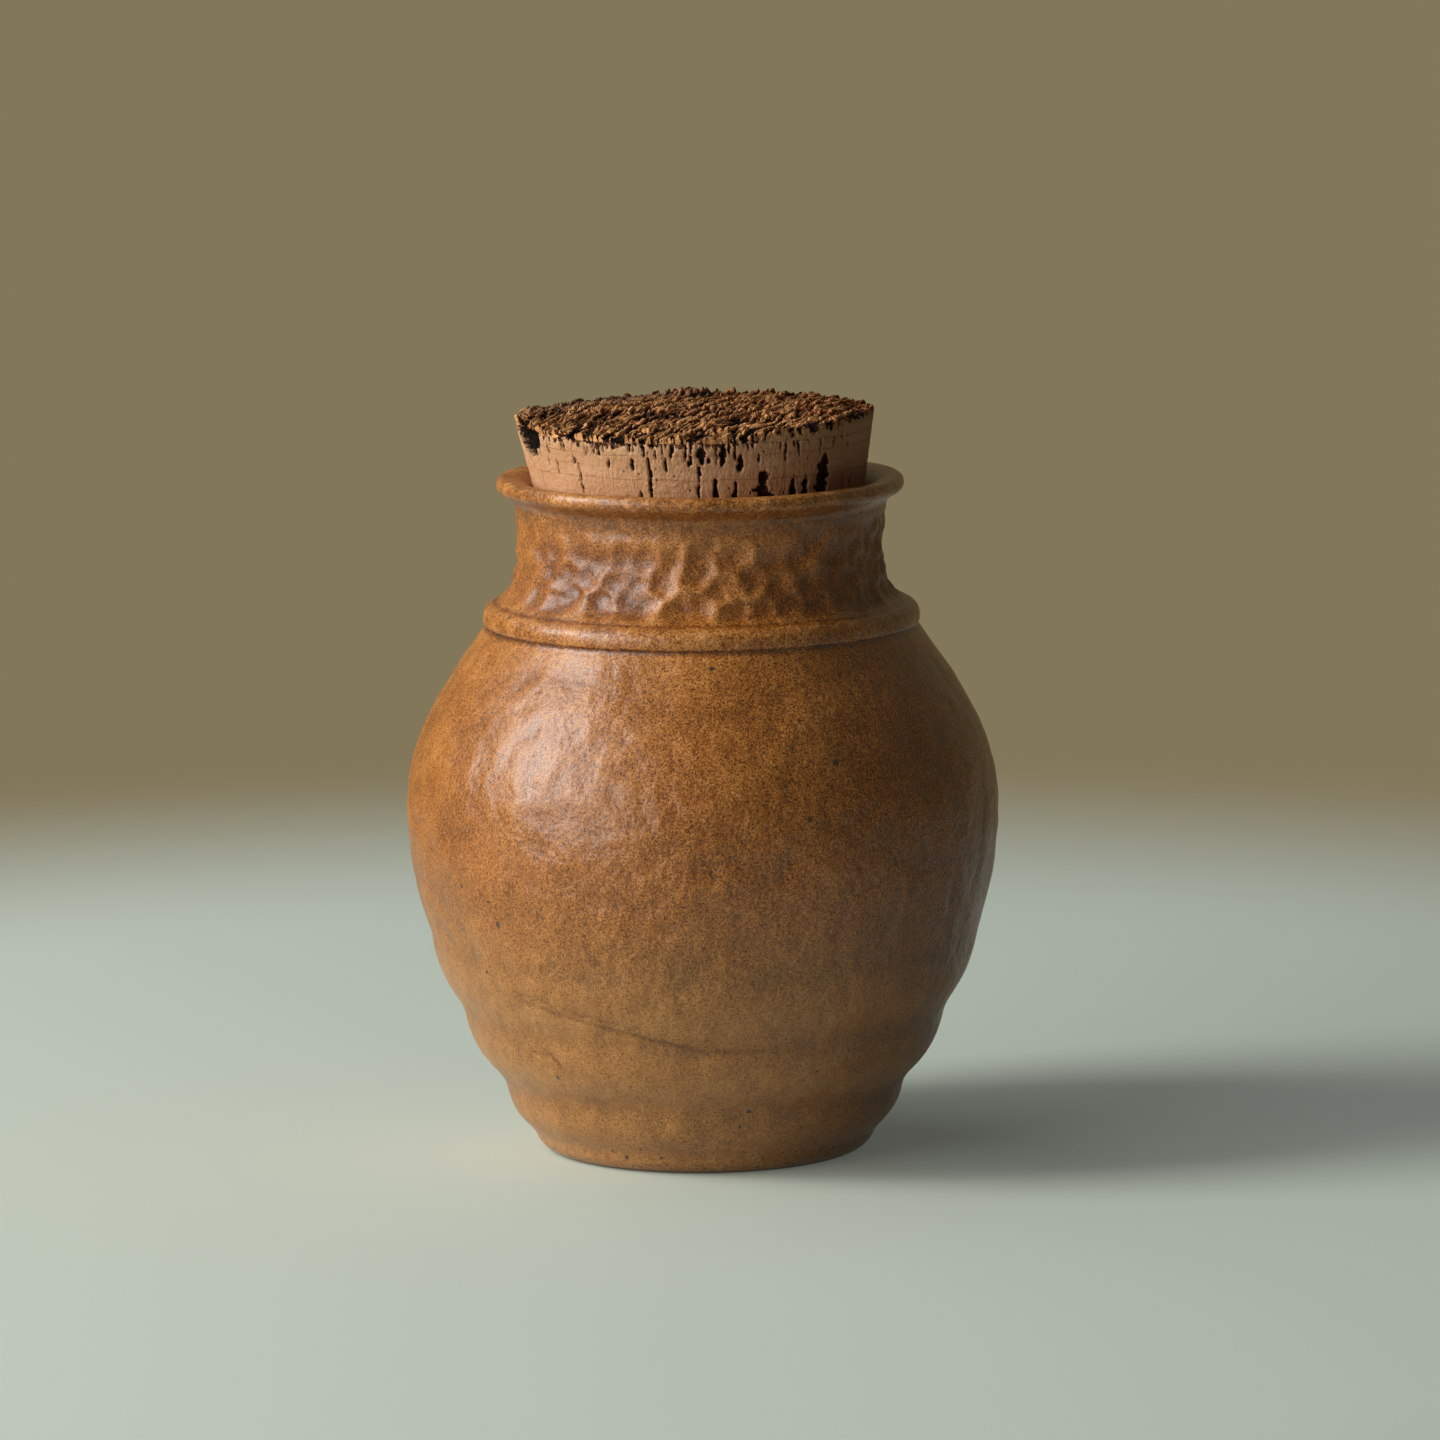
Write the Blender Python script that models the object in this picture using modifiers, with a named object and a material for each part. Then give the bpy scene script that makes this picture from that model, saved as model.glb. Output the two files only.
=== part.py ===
"""Stoneware tea canister, stopped with a plug of natural cork that still has its bark.

The jar is one turned wall. Its outline starts at the middle of the floor inside, climbs the inner
wall, rolls over the lip and comes down the outside: neck, bead, shoulder, belly, throwing rings
and foot. The stopper is a cork cone that leans a little to one side, under a rough slab of bark.

Metres, +Z up. The origin is the middle of the jar's foot.
"""

import math

import bmesh
import bpy
import numpy as np
from mathutils import Vector, noise
from mathutils.geometry import interpolate_bezier

MM = 0.001

# Jar: foot, belly and shoulder
FOOT_RADIUS = 24.4 * MM
HEEL_RADIUS = 27.4 * MM
HEEL_HEIGHT = 2.6 * MM
BELLY_RADIUS = 47.75 * MM
BELLY_HEIGHT = 56.0 * MM
SHOULDER_HEIGHT = 85.1 * MM
SHOULDER_FALL = 54.0

# Throwing rings: each groove's way from heel to belly, as (share outwards, share upwards)
RING_GROOVES = ((0.816, 0.597), (0.555, 0.367), (0.231, 0.146))

# Jar: bead, neck and lip
BEAD_THICKNESS = 3.7 * MM
BEAD_OVERHANG = 5.45 * MM
BEAD_UNDERCUT = 0.5 * MM
BEAD_CREASE = 2.15 * MM
NECK_RADIUS = 29.7 * MM
NECK_LENGTH = 14.9 * MM
LIP_OVERHANG = 3.05 * MM
LIP_HEIGHT = 5.4 * MM
LIP_CROWN = 1.3 * MM

# Jar: clay thickness, the round corner of the floor, and the flared mouth
WALL = 3.4 * MM
FLOOR = 5.0 * MM
FLOOR_CORNER = 7.0 * MM
MOUTH_FLARE = 2.1 * MM
MOUTH_DROP = 0.9 * MM
SEAT_DEPTH = 4.6 * MM

# Beaten dimples round the neck
DIMPLE_PITCH = 4.6 * MM
DIMPLE_DEPTH = 0.8 * MM
DIMPLE_REACH = 0.62
DIMPLE_SHAKE = 0.24
DIMPLE_SEED = 5

# Stopper
STOPPER_TAPER = 11.4
STOPPER_CLEARANCE = 0.3 * MM
CORK_IN_NECK = 11.0 * MM
CORK_PROUD = 8.0 * MM
CORK_EDGE = 0.8 * MM
STOPPER_LEAN = 0.9 * MM
BARK_LEAST = 0.5 * MM
BARK_RELIEF = 1.8 * MM
BARK_CROWN = 1.2 * MM
BARK_RISE = 1.0 * MM
FURROW_WIDTH = 2.6 * MM
FURROW_LENGTH = 9.0 * MM
FURROW_BEARING = 66.0

# Chip broken out of the cork's rim
CHIP_BEARING = 199.5
CHIP_WIDTH = 10.0 * MM
CHIP_HEIGHT = 5.2 * MM
CHIP_DEPTH = 3.8 * MM

# Facets round each turned piece, and points to one furrow of the bark
JAR_STEPS = 72
CORK_STEPS = 64
POINTS_ALONG = 2.5
POINTS_ACROSS = 2.0

# Sizes that follow from the ones above
BEAD_RADIUS = NECK_RADIUS + BEAD_OVERHANG
BEAD_TOP = SHOULDER_HEIGHT + BEAD_THICKNESS
NECK_TOP = BEAD_TOP + NECK_LENGTH
LIP_RADIUS = NECK_RADIUS + LIP_OVERHANG
JAR_HEIGHT = NECK_TOP + LIP_HEIGHT
BORE_RADIUS = NECK_RADIUS - WALL
SEAT_HEIGHT = JAR_HEIGHT - SEAT_DEPTH
CORK_BOTTOM = SEAT_HEIGHT - CORK_IN_NECK
CORK_TOP = JAR_HEIGHT + CORK_PROUD


def clear_scene():
    """Removes what the file opened with."""
    for thing in list(bpy.data.objects):
        bpy.data.objects.remove(thing, do_unlink=True)


def new_collection(name):
    """An empty collection linked to the scene."""
    group = bpy.data.collections.new(name)
    bpy.context.scene.collection.children.link(group)
    return group


def new_material(name, color, roughness):
    """A plain non-metal surface."""
    material = bpy.data.materials.new(name)
    material.use_nodes = True
    surface = material.node_tree.nodes["Principled BSDF"]
    surface.inputs["Base Color"].default_value = (*color, 1.0)
    surface.inputs["Roughness"].default_value = roughness
    surface.inputs["Metallic"].default_value = 0.0
    material.diffuse_color = (*color, 1.0)
    return material


def run(start, end, steps, leave=0.36, arrive=0.36):
    """Points on a smooth curve after start, up to and with end.

    A station is (radius, height, heading), its heading in degrees from outwards (0) through up (90).
    leave and arrive are the lengths of the curve's two handles, as shares of the straight distance.
    """
    ends = [Vector(station[:2]) for station in (start, end)]
    reach = (ends[1] - ends[0]).length
    turns = [math.radians(station[2]) for station in (start, end)]
    aims = [Vector((math.cos(turn), math.sin(turn))) for turn in turns]
    first_handle = ends[0] + aims[0] * reach * leave
    last_handle = ends[1] - aims[1] * reach * arrive
    points = interpolate_bezier(ends[0], first_handle, last_handle, ends[1], steps + 1)
    return [(point.x, point.y) for point in points[1:]]


def groove(outwards, upwards):
    """A throwing ring's groove on the way from the heel to the belly."""
    radius = HEEL_RADIUS + outwards * (BELLY_RADIUS - HEEL_RADIUS)
    height = HEEL_HEIGHT + upwards * (BELLY_HEIGHT - HEEL_HEIGHT)
    return radius, height


def inner_outline():
    """The inside, from the middle of the floor up to the seat of the stopper."""
    low_radius, low_height = groove(*RING_GROOVES[-1])
    rise = math.atan2(BELLY_HEIGHT - HEEL_HEIGHT, BELLY_RADIUS - HEEL_RADIUS)
    heel_radius = low_radius - WALL * math.sin(rise)
    heel_height = low_height + WALL * math.cos(rise)
    fall = math.radians(SHOULDER_FALL)
    shoulder_radius = BEAD_RADIUS - BEAD_UNDERCUT - WALL * math.sin(fall)
    floor_edge = (heel_radius - FLOOR_CORNER, FLOOR, 0.0)
    heel = (heel_radius, heel_height, math.degrees(rise) - 6.0)
    belly = (BELLY_RADIUS - WALL, BELLY_HEIGHT, 90.0)
    shoulder = (shoulder_radius, SHOULDER_HEIGHT - WALL * math.cos(fall), 180.0 - SHOULDER_FALL)
    bore = (BORE_RADIUS, BEAD_TOP + WALL, 90.0)
    points = [(0.0, FLOOR), floor_edge[:2]]
    points += run(floor_edge, heel, 3)
    points += run(heel, belly, 5)
    points += run(belly, shoulder, 4)
    points += run(shoulder, bore, 3)
    points.append((BORE_RADIUS, SEAT_HEIGHT))
    return points


def lip_outline():
    """The flared mouth, the rolled lip and its underside, from the seat to the top of the neck."""
    seat = (BORE_RADIUS, SEAT_HEIGHT, 68.0)
    mouth = (BORE_RADIUS + MOUTH_FLARE, JAR_HEIGHT - MOUTH_DROP, 40.0)
    crown = (LIP_RADIUS - LIP_CROWN, JAR_HEIGHT, 0.0)
    edge = (LIP_RADIUS, JAR_HEIGHT - LIP_CROWN, -90.0)
    under = (NECK_RADIUS + 0.5 * LIP_OVERHANG, NECK_TOP + 0.45 * LIP_HEIGHT, -148.0)
    neck = (NECK_RADIUS, NECK_TOP, -90.0)
    points = run(seat, mouth, 2)
    points += run(mouth, crown, 2)
    points += run(crown, edge, 3, 0.5, 0.5)
    points += run(edge, under, 2)
    points += run(under, neck, 2, 0.4, 0.5)
    return points


def neck_outline():
    """The waisted neck, down to the crease above the bead."""
    neck = (NECK_RADIUS, NECK_TOP, -90.0)
    crease = (BEAD_RADIUS - BEAD_CREASE, BEAD_TOP, -40.0)
    return run(neck, crease, 9, 0.6, 0.2)


def bead_outline():
    """The raised bead, down to the undercut where it meets the shoulder."""
    crease = (BEAD_RADIUS - BEAD_CREASE, BEAD_TOP, -8.0)
    bulge = (BEAD_RADIUS, SHOULDER_HEIGHT + 0.45 * BEAD_THICKNESS, -90.0)
    undercut = (BEAD_RADIUS - BEAD_UNDERCUT, SHOULDER_HEIGHT, -165.0)
    return run(crease, bulge, 2) + run(bulge, undercut, 2)


def body_outline():
    """Shoulder, belly, one lobe to each throwing ring, and the foot down to its middle."""
    shoulder = (BEAD_RADIUS - BEAD_UNDERCUT, SHOULDER_HEIGHT, -SHOULDER_FALL)
    belly = (BELLY_RADIUS, BELLY_HEIGHT, -90.0)
    heel = (HEEL_RADIUS, HEEL_HEIGHT, -112.0)
    foot = (FOOT_RADIUS, 0.0, -170.0)
    points = run(shoulder, belly, 6, 0.39, 0.36)
    above = belly
    for share in RING_GROOVES:
        below = (*groove(*share), -101.0)
        points += run(above, below, 4, 0.58, 0.24)
        above = below
    points += run(above, heel, 4, 0.58, 0.24)
    points += run(heel, foot, 2)
    points.append((0.0, 0.0))
    return points


def turned(name, outline, steps, material, group):
    """An outline in the XZ plane, turned once round the Z axis."""
    mesh = bpy.data.meshes.new(name)
    edges = [(index, index + 1) for index in range(len(outline) - 1)]
    mesh.from_pydata([(radius, 0.0, height) for radius, height in outline], edges, [])
    mesh.materials.append(material)
    piece = bpy.data.objects.new(name, mesh)
    group.objects.link(piece)
    lathe = piece.modifiers.new("Lathe", "SCREW")
    lathe.axis = "Z"
    lathe.angle = math.tau
    lathe.steps = steps
    lathe.render_steps = steps
    lathe.use_smooth_shade = True
    lathe.use_merge_vertices = True
    lathe.merge_threshold = 0.00001
    return piece


def finish_turning(piece):
    """Turns the piece's modifiers into mesh, so that its points can be moved one by one."""
    shaped = piece.evaluated_get(bpy.context.evaluated_depsgraph_get())
    piece.data = bpy.data.meshes.new_from_object(shaped)
    piece.modifiers.clear()


def cutter(piece, group):
    """Keeps a cutter out of the model and out of the render."""
    piece.display_type = "WIRE"
    piece.hide_render = True
    if piece.name not in group.objects:
        group.objects.link(piece)
    return piece


def cut(piece, name, tool, operation):
    """Shapes the piece with a cutter, by an exact Boolean."""
    modifier = piece.modifiers.new(name, "BOOLEAN")
    modifier.operation = operation
    modifier.solver = "EXACT"
    modifier.object = tool


def split_band(piece, low, high):
    """Doubles the columns of a turned piece between two heights, new points set on the round."""
    form = bmesh.new()
    form.from_mesh(piece.data)
    rings = []
    for edge in form.edges:
        heights = [vertex.co.z for vertex in edge.verts]
        outside = edge.verts[0].co.xy.length > BORE_RADIUS + 0.5 * WALL
        if outside and abs(heights[0] - heights[1]) < 1e-7 and low < heights[0] < high:
            rings.append(edge)
    split = bmesh.ops.subdivide_edges(form, edges=rings, cuts=1)
    for item in split["geom_inner"]:
        if isinstance(item, bmesh.types.BMVert):
            item.co.xy /= math.cos(math.pi / JAR_STEPS)
    form.to_mesh(piece.data)
    form.free()


def beater_marks():
    """Middles of the dimples as (way round, height): staggered rows, each a little off its place."""
    shake = np.random.default_rng(DIMPLE_SEED)
    around = round(math.tau * NECK_RADIUS / DIMPLE_PITCH)
    row_step = math.cos(math.radians(30)) * DIMPLE_PITCH
    rows = int((NECK_LENGTH - 0.5 * DIMPLE_PITCH) / row_step)
    row, place = np.mgrid[0:rows, 0:around]
    way = (place + 0.5 * (row % 2)) / around * math.tau * NECK_RADIUS
    height = BEAD_TOP + 0.55 * DIMPLE_PITCH + row * row_step
    way = way + DIMPLE_PITCH * shake.uniform(-DIMPLE_SHAKE, DIMPLE_SHAKE, way.shape)
    height = height + DIMPLE_PITCH * shake.uniform(-DIMPLE_SHAKE, DIMPLE_SHAKE, height.shape)
    return way.ravel(), height.ravel()


def beat_neck(jar):
    """Presses each point of the neck in by how near it lies to the middle of a dimple."""
    marks_way, marks_height = beater_marks()
    turn_length = math.tau * NECK_RADIUS
    for vertex in jar.data.vertices:
        radius = vertex.co.xy.length
        if not BEAD_TOP < vertex.co.z < NECK_TOP or radius < BORE_RADIUS + 0.5 * WALL:
            continue
        way = math.atan2(vertex.co.y, vertex.co.x) * NECK_RADIUS
        across = (marks_way - way + 0.5 * turn_length) % turn_length - 0.5 * turn_length
        nearest = np.hypot(across, marks_height - vertex.co.z).min()
        bowl = max(0.0, 1.0 - (nearest / (DIMPLE_REACH * DIMPLE_PITCH)) ** 2)
        vertex.co.xy *= 1.0 - DIMPLE_DEPTH * bowl / radius


def make_jar(group):
    """The jar, with the neck beaten into dimples between the lip and the bead."""
    clay = new_material("glazed_stoneware", (0.33, 0.135, 0.045), 0.42)
    outline = inner_outline() + lip_outline() + neck_outline() + bead_outline() + body_outline()
    jar = turned("stoneware_jar", outline, JAR_STEPS, clay, group)
    finish_turning(jar)
    split_band(jar, BEAD_TOP, NECK_TOP)
    beat_neck(jar)
    return jar


def cork_radius(height):
    """The cone's radius: it clears the bore by the clearance at the seat, and tapers both ways."""
    taper = math.radians(STOPPER_TAPER)
    at_seat = BORE_RADIUS - STOPPER_CLEARANCE / math.cos(taper)
    return at_seat + (height - SEAT_HEIGHT) * math.tan(taper)


def lean(height):
    """How far the stopper's middle lies to -X at a height: it leans from the seat upwards."""
    return STOPPER_LEAN * max(0.0, height - SEAT_HEIGHT) / (CORK_TOP - SEAT_HEIGHT)


def lean_over(piece):
    """Moves each point of a turned piece by the lean at its height."""
    finish_turning(piece)
    for vertex in piece.data.vertices:
        vertex.co.x -= lean(vertex.co.z)


def make_chip(group):
    """The cutter for the chip: a squashed ball on the cork's side, close under the bark."""
    bearing = math.radians(CHIP_BEARING)
    height = CORK_TOP - 0.36 * CHIP_HEIGHT
    radius = cork_radius(height)
    mesh = bpy.data.meshes.new("chip")
    ball = bmesh.new()
    bmesh.ops.create_icosphere(ball, subdivisions=2, radius=1.0)
    bmesh.ops.scale(ball, vec=(CHIP_DEPTH, CHIP_WIDTH / 2, CHIP_HEIGHT / 2), verts=ball.verts)
    ball.to_mesh(mesh)
    ball.free()
    chip = bpy.data.objects.new("chip", mesh)
    across = radius * math.cos(bearing) - lean(height)
    chip.location = (across, radius * math.sin(bearing), height)
    chip.rotation_euler.z = bearing
    return cutter(chip, group)


def make_cork(group, cutters):
    """The plug: a cone with a small edge at its foot, a lean, and the chip cut out."""
    tan = new_material("cork", (0.56, 0.36, 0.2), 0.85)
    outline = [
        (0.0, CORK_TOP),
        (cork_radius(CORK_TOP), CORK_TOP),
        (cork_radius(SEAT_HEIGHT), SEAT_HEIGHT),
        (cork_radius(CORK_BOTTOM + CORK_EDGE), CORK_BOTTOM + CORK_EDGE),
        (cork_radius(CORK_BOTTOM) - CORK_EDGE, CORK_BOTTOM),
        (0.0, CORK_BOTTOM),
    ]
    cork = turned("stopper_cork", outline, CORK_STEPS, tan, group)
    lean_over(cork)
    cut(cork, "Chip", make_chip(cutters), "DIFFERENCE")
    return cork


def bark_height(along, across):
    """The top of the bark: a curved plank with long furrows along it, thicker at one side."""
    grain = Vector((along / FURROW_LENGTH, across / FURROW_WIDTH, 0.0))
    furrow = min(1.0, 2.2 * abs(noise.noise(grain)))
    curve = 1.0 - (across / cork_radius(CORK_TOP)) ** 2
    thick_side = max(0.0, -across / cork_radius(CORK_TOP))
    grown = BARK_RELIEF * furrow + BARK_CROWN * max(0.0, curve) + BARK_RISE * thick_side**2
    return CORK_TOP + BARK_LEAST + grown


def make_plank(name, material, group):
    """A square of bark wider than the plug, its grid of points lined up with the furrows."""
    half = 1.15 * cork_radius(CORK_TOP)
    mesh = bpy.data.meshes.new(name)
    plank = bmesh.new()
    along_steps = round(2 * half / FURROW_LENGTH * POINTS_ALONG)
    across_steps = round(2 * half / FURROW_WIDTH * POINTS_ACROSS)
    bmesh.ops.create_grid(plank, x_segments=along_steps, y_segments=across_steps, size=half)
    raised = bmesh.ops.extrude_face_region(plank, geom=list(plank.faces), use_keep_orig=True)
    top = [item for item in raised["geom"] if isinstance(item, bmesh.types.BMVert)]
    bmesh.ops.translate(plank, vec=(0.0, 0.0, CORK_TOP), verts=plank.verts)
    for vertex in top:
        vertex.co.z = bark_height(vertex.co.x, vertex.co.y)
    bmesh.ops.recalc_face_normals(plank, faces=plank.faces)
    plank.to_mesh(mesh)
    plank.free()
    mesh.materials.append(material)
    piece = bpy.data.objects.new(name, mesh)
    piece.rotation_euler.z = math.radians(FURROW_BEARING)
    group.objects.link(piece)
    return piece


def make_bark(group, cutters):
    """The bark: a furrowed plank, cut round by the same leaning cone as the cork."""
    brown = new_material("bark", (0.12, 0.062, 0.032), 0.95)
    bark = make_plank("stopper_bark", brown, group)
    high = CORK_TOP + BARK_LEAST + BARK_RELIEF + BARK_CROWN + CORK_EDGE
    outline = [
        (0.0, high),
        (cork_radius(high), high),
        (cork_radius(SEAT_HEIGHT), SEAT_HEIGHT),
        (0.0, SEAT_HEIGHT),
    ]
    cone = turned("bark_cone", outline, CORK_STEPS, brown, cutters)
    lean_over(cone)
    cut(bark, "Round", cutter(cone, cutters), "INTERSECT")
    return bark


clear_scene()
canister = new_collection("tea_canister")
helpers = new_collection("cutters")
make_jar(canister)
make_cork(canister, helpers)
make_bark(canister, helpers)
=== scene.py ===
"""Looks of the tea canister: a satin-glazed stoneware jar, its natural cork, and the bark on the cork.

Every piece is a surface worked out with numpy, in millimetres, and put into Blender in metres. The jar
is an outline turned once round. The cork is a leaning cone with its pores pressed in. The bark is a
square of furrows drawn out to a disc. Bearings are in degrees, counter-clockwise from +X seen from above.
"""

import math

import bpy
import numpy as np
from mathutils import Matrix, Vector


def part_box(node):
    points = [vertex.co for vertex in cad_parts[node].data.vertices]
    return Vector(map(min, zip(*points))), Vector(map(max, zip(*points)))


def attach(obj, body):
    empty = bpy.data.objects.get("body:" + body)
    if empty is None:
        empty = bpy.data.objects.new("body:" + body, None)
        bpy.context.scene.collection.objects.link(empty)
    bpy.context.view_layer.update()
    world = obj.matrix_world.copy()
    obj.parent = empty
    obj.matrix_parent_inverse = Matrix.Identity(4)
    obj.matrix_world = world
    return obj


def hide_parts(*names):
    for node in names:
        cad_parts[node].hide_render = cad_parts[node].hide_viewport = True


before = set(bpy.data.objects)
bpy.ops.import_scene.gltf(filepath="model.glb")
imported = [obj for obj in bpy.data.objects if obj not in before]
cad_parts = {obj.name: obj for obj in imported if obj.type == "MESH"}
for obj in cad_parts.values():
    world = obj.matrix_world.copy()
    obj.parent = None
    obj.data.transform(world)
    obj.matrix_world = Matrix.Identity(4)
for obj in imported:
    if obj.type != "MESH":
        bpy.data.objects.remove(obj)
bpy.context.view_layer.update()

MM = 0.001

# Sizes read from the frame, from each node's lowest and highest corners
BELLY_RADIUS, _, JAR_HEIGHT = np.array(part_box("stoneware_jar")[1]) / MM
CORK_BOTTOM, CORK_TOP = (corner[2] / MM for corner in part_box("stopper_cork"))
BARK_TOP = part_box("stopper_bark")[1][2] / MM

# Jar: foot, belly and shoulder
FOOT_RADIUS = 24.4
HEEL_RADIUS = 27.4
HEEL_HEIGHT = 2.6
BELLY_HEIGHT = 56.0
SHOULDER_HEIGHT = 85.1
SHOULDER_FALL = 54.0

# Throwing rings: each groove's way from heel to belly, as (share outwards, share upwards)
RING_GROOVES = ((0.816, 0.597), (0.555, 0.367), (0.231, 0.146))

# Jar: bead, neck and lip
BEAD_THICKNESS = 3.7
BEAD_OVERHANG = 5.45
BEAD_UNDERCUT = 0.5
BEAD_CREASE = 2.15
NECK_RADIUS = 29.7
NECK_LENGTH = 14.9
LIP_OVERHANG = 3.05
LIP_HEIGHT = 5.4
LIP_CROWN = 1.3

# Jar: clay thickness, the round corner of the floor, and the flared mouth
WALL = 3.4
FLOOR = 5.0
FLOOR_CORNER = 7.0
MOUTH_FLARE = 2.1
MOUTH_DROP = 0.9
SEAT_DEPTH = 4.6

# Beaten dimples round the neck. Reach and shake are shares of the pitch, and the slant is the cosine and
# the sine of its angle.
DIMPLE_PITCH = 4.6
DIMPLE_PRESS = 1.05
DIMPLE_REACH = 0.62
DIMPLE_SHAKE = 0.30
DIMPLE_SEED = 5
DIMPLE_SLANT = (0.82, 0.57)
DIMPLE_STRETCH = (0.86, 1.04)
DIMPLE_BEND = (0.7, 0.6)
DIMPLE_BEND_SIZE = 2.4
DIMPLE_BLEND = 0.8

# Where the beating is weaker, from one height to another and near one bearing, and where the neck's tone
# starts to fade
BEATING_EASES = 97.5
BEATING_ENDS = 102.0
BEATING_EASY_BEARING = -166.0
BEATING_EASY_SPREAD = 24.0
NECK_TONE_EASES = 101.0

# Pleats that the beating left at one side
PLEAT_PITCH = 2.7
PLEAT_DEPTH = 0.2
PLEAT_BEARING = -14.0
PLEAT_SPREAD = 30.0

# Chance marks of the potter's hand: belly, rings, neck, rolled rims and the dip in the lip. The belly's
# lumps grow from the first height to the second, and fade from the third up to the shoulder. The rings'
# wander grows from the heel to the first height, and fades from the second to the third.
LUMP_DEPTH = 0.62
LUMP_HEIGHTS = (26.0, 40.0, 80.0)
RING_WANDER = 0.3
WANDER_HEIGHTS = (12.0, 40.0, 60.0)
NECK_UNEVEN = 0.2
ROLL_UNEVEN = 0.10
LIP_DIP = 0.12

# A finger's crease that climbs out of the middle ring groove, its fainter twin above, and a nail's mark
CREASE_WIDTH = 0.42
SPIRAL_DEPTH = 0.20
SPIRAL_BEARING = -88.0
SPIRAL_HEIGHT = 22.0
SPIRAL_RISE = 0.16
SPIRAL_TWIN = 1.3
NAIL_BEARING = -132.5
NAIL_HEIGHT = 17.2
NAIL_RADIUS = 3.5
NAIL_DEPTH = 0.32

# Stopper
STOPPER_TAPER = 11.4
STOPPER_CLEARANCE = 0.3
CORK_EDGE = 0.8
STOPPER_LEAN = 0.9
BARK_LEAST = 0.5
BARK_RELIEF = 1.8
BARK_CROWN = 1.2
BARK_RISE = 1.0
BARK_FALL = 22.0
BARK_THINNEST = 0.15
BARK_RIM = CORK_TOP + 0.8

# Furrows, the plates between them and the flakes on the plates
FURROW_BEARING = 66.0
FURROW_LENGTH = 9.0
FURROW_WIDTH = 2.6
PLATE_LENGTH = 7.0
PLATE_WIDTH = 1.0
FLAKE_LENGTH = 3.2
FLAKE_WIDTH = 0.5

# The cork's growth rings: the height of one, and the way to the next
RING_HEIGHT = 111.25
RING_STEP = 4.0

# Knobs of bark, one over the chip and one at the back: (X, Y, half width, height)
KNOBS = ((-26.6, -7.5, 2.8, 1.3), (-0.7, 24.0, 4.5, 0.7))

# Where sawn cork turns into bark, on the stopper's side: lowest height, its rise towards +X, the X at which
# that rise starts, and the length along X that it takes
BARK_LINE = 116.85
BARK_LINE_RISE = 2.5
BARK_LINE_START = 3.0
BARK_LINE_LENGTH = 24.0

# Chip broken out of the rim, through the cork and the lower half of the bark
CHIP_BEARING = 197.5
CHIP_MIDDLE = 116.5
CHIP_WIDTH = 11.6
CHIP_TALL = 6.2
CHIP_DEPTH = 4.2

# The cork's large pores that the photograph shows: bearing, lowest, highest, width
PORES = (
    (-163.0, 112.5, 113.6, 0.80), (-155.0, 107.8, 114.1, 0.26), (-147.5, 112.1, 113.9, 0.30),
    (-143.0, 111.1, 113.6, 0.38), (-133.5, 113.1, 114.8, 0.36), (-132.6, 108.2, 114.1, 0.46),
    (-119.5, 113.0, 114.6, 0.34), (-111.2, 112.8, 114.8, 0.50), (-109.7, 107.8, 109.6, 0.38),
    (-106.0, 107.6, 115.7, 0.50), (-99.8, 112.6, 114.9, 0.40), (-91.8, 113.6, 115.3, 0.80),
    (-88.2, 113.9, 116.6, 1.40), (-88.8, 112.0, 113.6, 0.56), (-89.8, 107.6, 112.4, 0.36),
    (-85.5, 114.2, 115.1, 0.80), (-84.2, 107.0, 111.6, 0.80), (-81.2, 113.4, 117.2, 1.25),
    (-77.5, 106.6, 111.1, 1.00), (-75.5, 112.7, 115.4, 1.05), (-69.0, 114.1, 115.4, 0.32),
    (-67.5, 105.6, 112.7, 2.50), (-59.5, 114.0, 117.1, 0.44), (-56.5, 106.4, 111.2, 1.30),
    (-51.3, 106.4, 111.4, 1.20), (-43.0, 107.2, 114.6, 2.70), (-30.5, 114.6, 116.2, 0.38),
    (-26.2, 107.8, 111.2, 0.55), (-31.8, 107.8, 111.0, 0.38),
)
PORE_DEPTH = 1.1
CHANCE_PORES = 84
HANGING_SLITS = 190
SAW_DEPTH = 0.08
FRAY_MOST = 0.7

# Iron specks in the glaze that the photograph shows: bearing, height, radius
SPECKS = (
    (-124.5, 80.0, 0.50), (-62.5, 68.3, 0.72), (-69.0, 60.1, 0.58), (-87.5, 82.7, 0.46),
    (-77.5, 11.3, 0.46), (-80.0, 8.7, 0.34), (-60.5, 7.8, 0.42), (-53.5, 20.7, 0.44),
    (-42.0, 23.4, 0.34), (-61.5, 17.8, 0.32), (-130.0, 16.2, 0.42), (-109.0, 15.8, 0.32),
    (-142.0, 33.1, 0.46), (-144.5, 47.0, 0.50), (-139.5, 45.7, 0.34), (-135.0, 41.6, 0.60),
    (-121.5, 3.6, 0.34), (-117.0, 2.7, 0.48), (-111.0, 4.3, 0.30), (-104.5, 2.9, 0.36),
    (-71.5, 79.8, 0.36), (-68.5, 75.0, 0.40), (-57.0, 72.7, 0.44), (-33.0, 59.3, 0.50),
)
SPECK_SHAKE = 0.9

# Grids: columns round each turned piece, the height below which the jar's rows lie closer, steps along each
# side of the bark's square, and rows of its rim
JAR_COLUMNS = 324
FINE_BELOW = 30.0
CORK_COLUMNS = 900
BARK_STEPS = 280
SKIRT_ROWS = 7

# Camera, measured from the photograph: its frame, distance from the jar's axis, height, lens and tilts
PICTURE = 1440
SENSOR = 36.0
CAMERA_AWAY = 1419.0
CAMERA_HEIGHT = 278.8
CAMERA_LENS = 223.15
CAMERA_PITCH = 8.40
CAMERA_ROLL = -0.43
AXIS_LEFT_OF_MIDDLE = 18.0

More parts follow.
